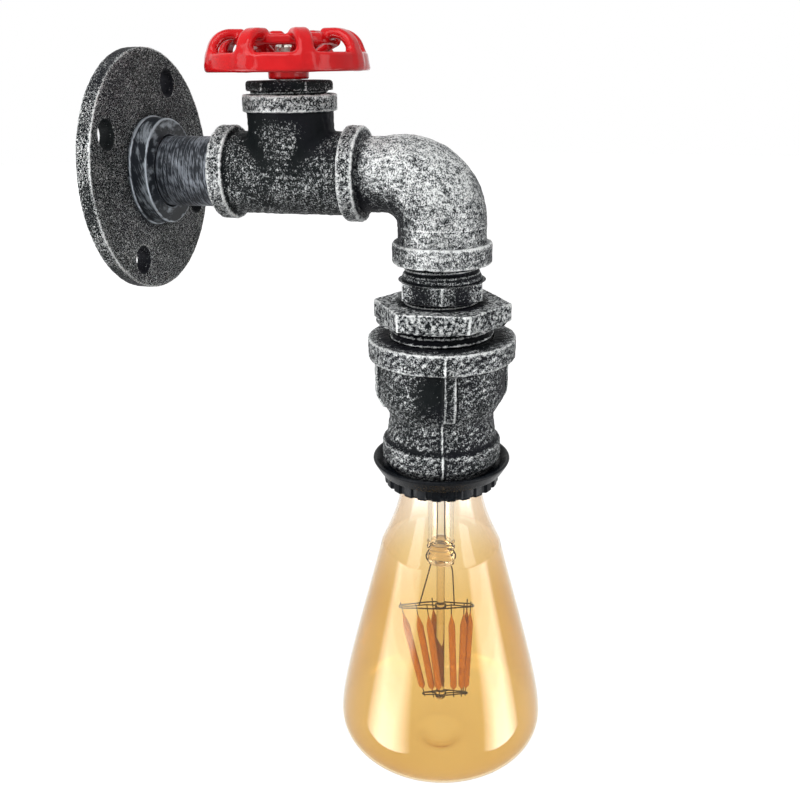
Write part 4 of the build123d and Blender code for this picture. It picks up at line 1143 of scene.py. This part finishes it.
def lamp_cap_surface():
    """Rolled screw cap: a sheet whose helical thread is the same inside and out."""
    top, low = cap_high[2], cap_low[2]
    crest, depth, pitch, wall = 13.2, 1.0, 3.6, 0.4

    def shape(radius, height, bearing):
        swell = (1 - np.cos(2 * pi * height / pitch - bearing)) / 2
        fade = smooth(low + 2.6, low + 4.6, height) * (1 - smooth(top - 3.4, top - 1.4, height))
        return np.where((radius > 11.6) & (height > low + 2.6), radius - depth * swell * fade, radius)

    return turned([
        (cap_high[0] - wall, low), (cap_high[0], low), (crest - 0.5, low + 2.4, 0.6),
        (crest, low + 4.0, 0.8), (crest, top - 3.0, 1.2), (crest - 1.4, top, 1.0), (9.5, top),
        (9.5, top - wall), (crest - 1.4 - wall, top - wall, 0.7), (crest - wall, top - 3.2, 1.2),
        (crest - wall, low + 4.0, 0.8), (crest - 0.5 - wall, low + 2.4, 0.6),
    ], step=0.3, sides=120, shape=shape)


def cubic(a, b, c, d, count):
    """Cubic curve from a to d: a (1 - t)^3 + 3 b t (1 - t)^2 + 3 c t^2 (1 - t) + d t^3."""
    t = np.linspace(0, 1, count)[:, None]
    a, b, c, d = (np.array(p, float) for p in (a, b, c, d))
    return a * (1 - t) ** 3 + 3 * b * t * (1 - t) ** 2 + 3 * c * t * t * (1 - t) + d * t ** 3


def envelope_line(inset):
    """Half outline of the lamp's glass, from its mouth down to its tip, moved in by the inset.

    It is five cubic curves in a row: neck, shoulder, flank, bowl and tip.
    """
    belly, belly_drop, tip_drop = envelope_high[0], 91.5, lamp_rim - envelope_low[2]
    bowl_drop = tip_drop - 3.4
    neck_foot, shoulder_foot, widest = (13.6, -1.6), (20.6, -23.0), (belly, -belly_drop)
    tip_start, tip_end = (10.4, -bowl_drop), (0.0, -tip_drop)
    neck = cubic((11.4, 3.6), (11.6, 1.0), (13.4, 1.2), neck_foot, 14)
    shoulder = cubic(neck_foot, (14.3, -9.0), (17.2, -16.0), shoulder_foot, 30)
    flank = cubic(shoulder_foot, (25.8, -45.0), (belly, -80.0), widest, 80)
    bowl = cubic(widest, (belly, -101.5), (25.0, -bowl_drop + 0.5), tip_start, 60)
    tip = cubic(tip_start, (6.5, -bowl_drop - 0.2), (5.0, -tip_drop), tip_end, 30)
    line = np.concatenate([neck, shoulder[1:], flank[1:], bowl[1:], tip[1:]])
    ahead = np.gradient(line, axis=0)
    inward = np.stack([ahead[:, 1], -ahead[:, 0]], axis=1) / np.linalg.norm(ahead, axis=1)[:, None]
    line = line + inward * inset
    line[-1, 0] = 0.0
    return np.stack([np.maximum(line[:, 0], 0.0), lamp_rim + line[:, 1]])


def envelope_surface():
    """Glass shell: the outer line, turned, and the same line moved in by the wall."""
    shell = np.concatenate([envelope_line(0.0)[:, ::-1], envelope_line(glass_wall)], axis=1)
    return revolved(*shell, sides=180)


stem_pinch_top = lamp_rim - 23.0
stem_pinch_low = stem_pinch_top - 9.5
rod_radius = 1.5
cage_wire, collar_wire, arm_wire, stub_wire, lead_wire = 0.26, 0.35, 0.22, 0.2, 0.25     # radii
upper_frame_height, lower_frame_height = lamp_rim - 49.6, lamp_rim - 87.3
upper_frame_radius, lower_frame_radius = 13.4, 8.3
cage_wire_turn = 8.0
cage_depth, cage_depth_bearing = 0.16, radians(15.0)    # the wire cage is an oval, narrow this way
cage_across = np.array([sin(cage_depth_bearing), -cos(cage_depth_bearing), 0.0])
cage_narrow = np.array([cos(cage_depth_bearing), sin(cage_depth_bearing), 0.0])
upper_frame_shift, lower_frame_shift = cage_across * -1.5, cage_across * 1.75   # the cage leans
stick_top_radius, stick_low_radius = 12.8, 7.9          # of the circles that the sticks' ends stand on
stick_point, stick_swell = 0.14, 1.1                    # radius at a stick's ends, and how much more between
stick_turns = (168.0, 124.0, 105.0, -96.0, 66.0, 40.0, 17.0, -30.0)    # from the cage's wide direction


def flattened(points, depth=cage_depth):
    """Points drawn in towards the plane square to the cage's narrow direction: p - (1 - f) (p . d) d."""
    return points - (1 - depth) * (points @ cage_narrow)[..., None] * cage_narrow


def stem_tube_surface():
    """Clear tube with a flare at its top, pressed flat at its foot into the pinch."""
    top, low = lamp_rim, stem_pinch_top
    return turned([
        (3.5, low - 0.2), (4.5, low, 0.4), (4.5, top - 4.0, 2.0), (11.9, top - 0.9, 0.2), (11.9, top, 0.2),
        (3.6, top, 0.4),
    ], step=0.6, sides=64)


def pinch_surface():
    """Pressed foot of the stem: a section that goes from round to flat and swells again lower down."""
    sides = 48
    height = np.linspace(stem_pinch_top + 0.4, stem_pinch_low, 40)
    s = (stem_pinch_top - height) / (stem_pinch_top - stem_pinch_low)
    collar, ring = hump(s, 0.05, 0.05), hump(s, 0.26, 0.06)
    block, end = smooth(0.5, 0.56, s), smooth(0.94, 1.02, s)
    wide = 4.1 + 0.8 * collar + 0.9 * ring + 0.7 * block - 3.3 * end
    thick = 2.8 + 2.0 * collar + 1.6 * ring + 0.3 * block - 2.0 * end
    for half in (wide, thick):
        half[[0, -1]] = 0.0
    turn = np.linspace(0, 2 * pi, sides, endpoint=False)[None, :]
    points = np.stack(np.broadcast_arrays(
        thick[:, None] * np.cos(turn), wide[:, None] * np.sin(turn), height[:, None]), axis=-1)
    return points.reshape(-1, 3), lattice(len(height), sides, closed_rows=False)[:, ::-1]


def rod_surface():
    """Glass rod from the pinch to below the lower frame, with a bead at its end."""
    height = np.linspace(stem_pinch_low + 1.0, lower_frame_height - 1.9, 60)
    bead = smooth(lower_frame_height + 1.5, lower_frame_height - 1.0, height)
    bead = bead * (1 - smooth(lower_frame_height - 1.2, lower_frame_height - 1.9, height))
    path = height[:, None] * [0, 0, 1]
    return tube(path, rod_radius + 0.5 * bead, sides=24)


def frame_surface(radius, height, shift, seed):
    """Oval of wire round the rod, slightly bent, on four arms from a collar."""
    oval, quads = hoop(height, radius, cage_wire, waver=0.15, depth=cage_depth)
    parts = [(oval + shift, quads), hoop(height, rod_radius + collar_wire, collar_wire)]
    for k in range(4):
        bearing = radians(cage_wire_turn + 90 * k)
        around = np.array([cos(bearing), sin(bearing), 0.0])
        share = np.linspace(0, 1, 12)[:, None]
        sag = 0.25 * np.sin(share * pi * (1 + (k + seed) % 2)) * [0, 0, 1]
        foot, tip = around * (rod_radius + 0.2), flattened(around * radius) + shift
        line = foot + (tip - foot) * share + sag + [0, 0, height]
        parts.append(tube(line, arm_wire, sides=8, guide=(0.3, 0.2, 1)))
    return joined(*parts)


def stick_line(turn):
    """Upper and lower end of the light stick at that turn, on the two frames."""
    around = flattened(cos(radians(turn)) * cage_across - sin(radians(turn)) * cage_narrow)
    return (around * stick_top_radius + upper_frame_shift + [0, 0, upper_frame_height],
            around * stick_low_radius + lower_frame_shift + [0, 0, lower_frame_height])


def filament_surface():
    """Light sticks: round rods along their lines, pointed at the top and blunt at the foot."""
    sticks = []
    for turn in stick_turns:
        upper, lower = stick_line(turn)
        s = np.linspace(0, 1, 40)
        path = upper + (lower - upper) * (0.07 + 0.87 * s)[:, None]
        radius = stick_point + stick_swell * smooth(-0.02, 0.16, s) * (1 - smooth(0.94, 1.01, s))
        sticks.append(tube(path, radius, sides=14, guide=cage_narrow))
    return joined(*sticks)


def stub_surface():
    """Short wires that hold each stick's ends to the frames, with their tips past them."""
    stubs = []
    for turn in stick_turns:
        upper, lower = stick_line(turn)
        for start, stop in ((-0.05, 0.09), (0.92, 1.03)):
            s = np.linspace(start, stop, 6)[:, None]
            stubs.append(tube(upper + (lower - upper) * s, stub_wire, sides=6, guide=(0, 0, 1)))
    return joined(*stubs)


def lead_surface():
    """Two leads: down inside the tube, out round the pinch's block in a loop, and on to the upper frame."""
    wires = []
    for side, frame_reach in ((-1, 7.7), (1, 4.9)):
        route = (
            (1.3, lamp_rim - 1.0), (1.3, stem_pinch_top + 0.5), (4.0, stem_pinch_top - 3.5),
            (5.2, stem_pinch_top - 6.0), (5.0, stem_pinch_low + 2.0), (3.4, stem_pinch_low + 0.3),
            (4.2, stem_pinch_low - 3.0), (frame_reach, upper_frame_height + 0.2))
        knots = np.array([cage_across * side * reach + [0, 0, height] for reach, height in route])
        s = np.linspace(0, len(knots) - 1, 90)
        path = np.stack([np.interp(s, np.arange(len(knots)), knots[:, axis]) for axis in range(3)], axis=1)
        for _ in range(5):
            path[1:-1] = (path[:-2] + path[1:-1] * 2 + path[2:]) / 4
        wires.append(tube(path, lead_wire, sides=8))
    return joined(*wires)


# ------------------------------------------------------------------ materials
iron_flange = casting("iron_flange", grain=1700.0, silver=-0.15, edge=1.8, contours=2.0, patches=3.0)
iron_tee = casting("iron_tee", grain=1900.0, silver=0.0, edge=1.5, softness=0.4)
iron_elbow = casting("iron_elbow", grain=2000.0, silver=0.12, edge=1.3, streaks=0.5, softness=1.2)
iron_small = casting("iron_small", grain=1700.0, silver=-0.1, edge=2.0, softness=0.4)
iron_bushing = casting("iron_bushing", grain=1050.0, silver=0.30, edge=2.0, softness=0.4)
iron_coupling = casting("iron_coupling", grain=1900.0, silver=-0.1, edge=1.7, softness=0.45)
pipe_dark = (0.010, 0.013, 0.018)
pipe_steel = brushed_pipe("pipe_steel", (0.20, 0.22, 0.25), pipe_dark, low=0.47, high=0.70)
hub_steel = brushed_pipe("hub_steel", (0.36, 0.40, 0.44), pipe_dark, low=0.46, high=0.66,
                         lines_per_metre=240.0, slant=0.3)
enamel = red_enamel()
black_plastic = mottled("black_plastic", (0.003, 0.004, 0.006), (0.006, 0.008, 0.011), size=500.0,
                        roughness=(0.2, 0.36), bump=0.03, specular=0.08)
holder_plastic = mottled("holder_plastic", (0.010, 0.010, 0.011), (0.018, 0.018, 0.018), size=400.0,
                         roughness=(0.35, 0.5), specular=0.3)
plated_steel = mottled("plated_steel", (0.62, 0.60, 0.56), (0.34, 0.32, 0.28), size=500.0,
                       roughness=(0.22, 0.45), metallic=1.0, bump=0.05)
spindle_steel = mottled("spindle_steel", (0.46, 0.45, 0.43), (0.36, 0.35, 0.34), size=250.0,
                        roughness=(0.25, 0.4), metallic=1.0)
plain_brass = mottled("plain_brass", (0.72, 0.50, 0.20), (0.56, 0.36, 0.13), size=300.0,
                      roughness=(0.25, 0.42), metallic=1.0)
cap_brass = mottled("cap_brass", (0.74, 0.56, 0.30), (0.60, 0.43, 0.20), size=220.0,
                    roughness=(0.18, 0.34), metallic=1.0)
rubber = mottled("rubber", (0.016, 0.016, 0.016), (0.028, 0.027, 0.026), size=600.0, roughness=(0.6, 0.8))
solder = mottled("solder", (0.60, 0.60, 0.58), (0.42, 0.42, 0.41), size=500.0,
                 roughness=(0.35, 0.6), metallic=1.0, bump=0.1)
black_glass = mottled("black_glass", (0.006, 0.006, 0.008), (0.012, 0.011, 0.014), size=350.0,
                      roughness=(0.08, 0.2))
frame_wire = mottled("frame_wire", (0.05, 0.026, 0.012), (0.03, 0.015, 0.008), size=900.0,
                     roughness=(0.4, 0.55), metallic=0.3)
board_green = mottled("board_green", (0.012, 0.13, 0.05), (0.02, 0.18, 0.07), size=700.0,
                      roughness=(0.3, 0.45))
# The amber glass turns near-white close to the cap: painted highlight.
amber_glass = tinted_glass("amber_glass", (0.885, 0.705, 0.365), (0.55, 0.31, 0.08),
                           painted_highlight_tint=(1.0, 0.965, 0.90), highlight_top=lamp_rim)
# The dark outline tints of the clear stem, rod and pinch are painted shade.
stem_glass = tinted_glass("stem_glass", (0.98, 0.985, 1.0), (0.16, 0.20, 0.34), falloff=3.0)
rod_glass = tinted_glass("rod_glass", (0.94, 0.86, 0.74), (0.08, 0.04, 0.015), falloff=1.8)
pinch_glass = tinted_glass("pinch_glass", (0.90, 0.74, 0.55), (0.03, 0.012, 0.006), falloff=1.5)
stick_phosphor = phosphor()

# ------------------------------------------------------------------ pieces
upper_frame = frame_surface(upper_frame_radius, upper_frame_height, upper_frame_shift, seed=0)
lower_frame = frame_surface(lower_frame_radius, lower_frame_height, lower_frame_shift, seed=1)

piece("flange_piece", cast_relief(flange_surface(), amount=0.03, seed=1), iron_flange, "fixture",
      "wall_flange", cover=flange_cover_and_shade)
piece("hub_piece", hub_surface(), hub_steel, "fixture", "wall_flange")
piece("nipple_piece", nipple_surface(), pipe_steel, "fixture", "wall_nipple")
piece("tee_piece", cast_relief(tee_surface(), amount=0.05, seed=3), iron_tee, "fixture", "tee",
      cover=tee_cover_and_shade)
piece("bonnet_piece", moved(bonnet_surface(), branch_out), iron_small, "fixture",
      "bonnet_plug", cover=bonnet_cover)
piece("handwheel_piece", wheel_surface(), enamel, "wheel", "handwheel")
piece("elbow_piece", cast_relief(elbow_surface(), amount=0.05, seed=5), iron_elbow, "fixture",
      "street_elbow", cover=elbow_cover_light_and_shade)
piece("hex_nipple_piece", dropped(hex_nipple_surface()), iron_small, "fixture", "hex_nipple",
      cover=small_hex_cover)
piece("bushing_piece", cast_relief(dropped(bushing_surface()), amount=0.05, seed=7), iron_bushing,
      "fixture", "hex_bushing", cover=bushing_cover_and_shade)
piece("coupling_piece", cast_relief(dropped(coupling_surface()), amount=0.05, seed=9), iron_coupling,
      "fixture", "reducing_coupling", cover=coupling_cover_and_shade)
piece("shade_ring_piece", dropped(shade_ring_surface()), black_plastic, "shade_ring",
      "shade_ring")
piece("ring_nut_piece", dropped(ring_nut_surface()), black_plastic, "ring_nut", "ring_nut")
for name, surface, material, slot, stands_for, has_poles in (
        ("lamp_cap_piece", lamp_cap_surface(), cap_brass, "lamp_cap_brass", "lamp_cap", False),
        ("envelope_piece", envelope_surface(), amber_glass, "amber_glass", "lamp_envelope", True),
        ("stem_piece", stem_tube_surface(), stem_glass, "clear_glass", "lamp_stem", False),
        ("rod_piece", rod_surface(), rod_glass, "clear_glass", "lamp_stem", True),
        ("pinch_piece", pinch_surface(), pinch_glass, "clear_glass", "lamp_stem", True),
        ("upper_frame_piece", upper_frame, frame_wire, "frame_wire", "upper_frame", True),
        ("lower_frame_piece", lower_frame, frame_wire, "frame_wire", "lower_frame", True),
        ("lead_piece", lead_surface(), frame_wire, "frame_wire", "lead_wires", True),
        ("filament_piece", filament_surface(), stick_phosphor, "filament", "filaments", True),
        ("stub_piece", stub_surface(), frame_wire, "frame_wire", "filaments", True)):
    piece(name, dropped(surface), material, "lamp", stands_for, merge=has_poles)

kept_nodes = {
    "spindle_seal": rubber, "spindle": spindle_steel, "spindle_clip": spindle_steel,
    "wheel_washer": plated_steel, "wheel_screw": plated_steel, "lampholder_body": holder_plastic,
    "lampholder_cap": holder_plastic, "screw_shell": plain_brass, "centre_contact": plain_brass,
    "terminals": plain_brass, "terminal_screws": plated_steel, "lamp_insulator": black_glass,
    "lamp_tip": solder, "lamp_driver": board_green,
}
for name, material in kept_nodes.items():
    kept = frame["nodes"][name]
    kept.data.materials.clear()
    kept.data.materials.append(material)


# ------------------------------------------------------------------ floor, light and camera
def floor():
    """Pale floor below the lamp. To the camera it is white where the light reaches it."""
    made, tree, shader = new_material("pale_floor")
    shader.inputs["Base Color"].default_value = (0.82, 0.82, 0.82, 1.0)
    shader.inputs["Roughness"].default_value = 0.9
    shader.inputs["Emission Color"].default_value = (1.0, 1.0, 1.0, 1.0)
    away = node(tree, "ShaderNodeVectorMath", {0: object_place(tree)}, operation="LENGTH").outputs["Value"]
    glow = ranged(tree, away, 0.2, 2.5, 0.80, 0.96)
    tree.links.new(times(tree, seen_rays(tree), glow), shader.inputs["Emission Strength"])
    bpy.ops.mesh.primitive_circle_add(vertices=96, radius=9.0, fill_type="NGON", location=(0, 0, -0.8))
    disc = bpy.context.object
    disc.name = "floor"
    disc.data.materials.append(made)


def world():
    """Soft even light, which the camera, reflections and glass see as white."""
    sky = bpy.data.worlds.new("studio")
    bpy.context.scene.world = sky
    sky.use_nodes = True
    tree = sky.node_tree
    back = tree.nodes["Background"]
    back.inputs["Color"].default_value = (1.0, 1.0, 1.0, 1.0)
    tree.links.new(ranged(tree, seen_rays(tree), 0.0, 1.0, 0.18, 1.0, "LINEAR"), back.inputs["Strength"])


def towards(azimuth, elevation):
    """Unit vector from a target to the azimuth and elevation it is seen from."""
    return Vector((sin(azimuth) * cos(elevation), -cos(azimuth) * cos(elevation), sin(elevation)))


def softbox(name, azimuth, elevation, width, height, radiance, aim, distance=0.75, only_reflected=False):
    """Area lamp that faces the aim. Its power is pi times its area times its radiance."""
    lamp = bpy.data.lights.new(name, "AREA")
    lamp.shape = "RECTANGLE"
    lamp.size, lamp.size_y = width, height
    lamp.energy = pi * width * height * radiance
    box = bpy.data.objects.new(name, lamp)
    box.visible_diffuse = not only_reflected
    bpy.context.scene.collection.objects.link(box)
    back = towards(radians(azimuth), radians(elevation))
    facing = back.to_track_quat("Z", "Y").to_matrix().to_4x4()
    box.matrix_world = Matrix.Translation(aim + back * distance) @ facing


def camera():
    """Camera at the photograph's place: azimuth, elevation and roll about a target, near the object."""
    azimuth, elevation, roll = radians(-75.11), radians(20.0), radians(-0.69)
    distance, target, lens = 248.3, Vector((-54.69, -101.32, -52.94)), 41.55
    back = towards(azimuth, elevation)
    right = (-back).cross(Vector((0, 0, 1))).normalized()
    up = right.cross(-back)
    turned_right = right * cos(roll) + up * sin(roll)
    turned_up = up * cos(roll) - right * sin(roll)
    data = bpy.data.cameras.new("camera")
    data.lens, data.sensor_width = lens, 36.0
    data.clip_start = 0.01
    view = bpy.data.objects.new("camera", data)
    bpy.context.scene.collection.objects.link(view)
    turn = Matrix((turned_right, turned_up, back)).transposed().to_4x4()
    view.matrix_world = Matrix.Translation((target + back * distance) * MM) @ turn
    bpy.context.scene.camera = view


floor()
world()
fitting_middle = Vector((0.0, -0.075, -0.09))
softbox("left_box", azimuth=-128.0, elevation=22.0, width=0.34, height=0.70, radiance=3.0,
        aim=fitting_middle)
softbox("right_box", azimuth=-22.0, elevation=22.0, width=0.30, height=0.60, radiance=2.8,
        aim=fitting_middle)
softbox("front_box", azimuth=-95.0, elevation=50.0, width=0.50, height=0.50, radiance=4.4,
        aim=fitting_middle, distance=0.80)
lamp_middle = Vector((0.0, -drop_out * MM, (lamp_rim - 75.0) * MM))
# Cards that only reflections show, one in another, so that a highlight fades out towards its edges.
for share in np.linspace(1.0, 0.3, 8):
    for name, azimuth, width in (("left_card", -137.0, 0.72), ("right_card", -8.0, 0.60)):
        softbox(name, azimuth, elevation=-12.0 - 13.5 * (1 - share), width=width * share,
                height=0.41 - 0.38 * (1 - share), radiance=1.4, aim=lamp_middle, only_reflected=True)
camera()
bpy.context.scene.view_settings.view_transform = "Standard"
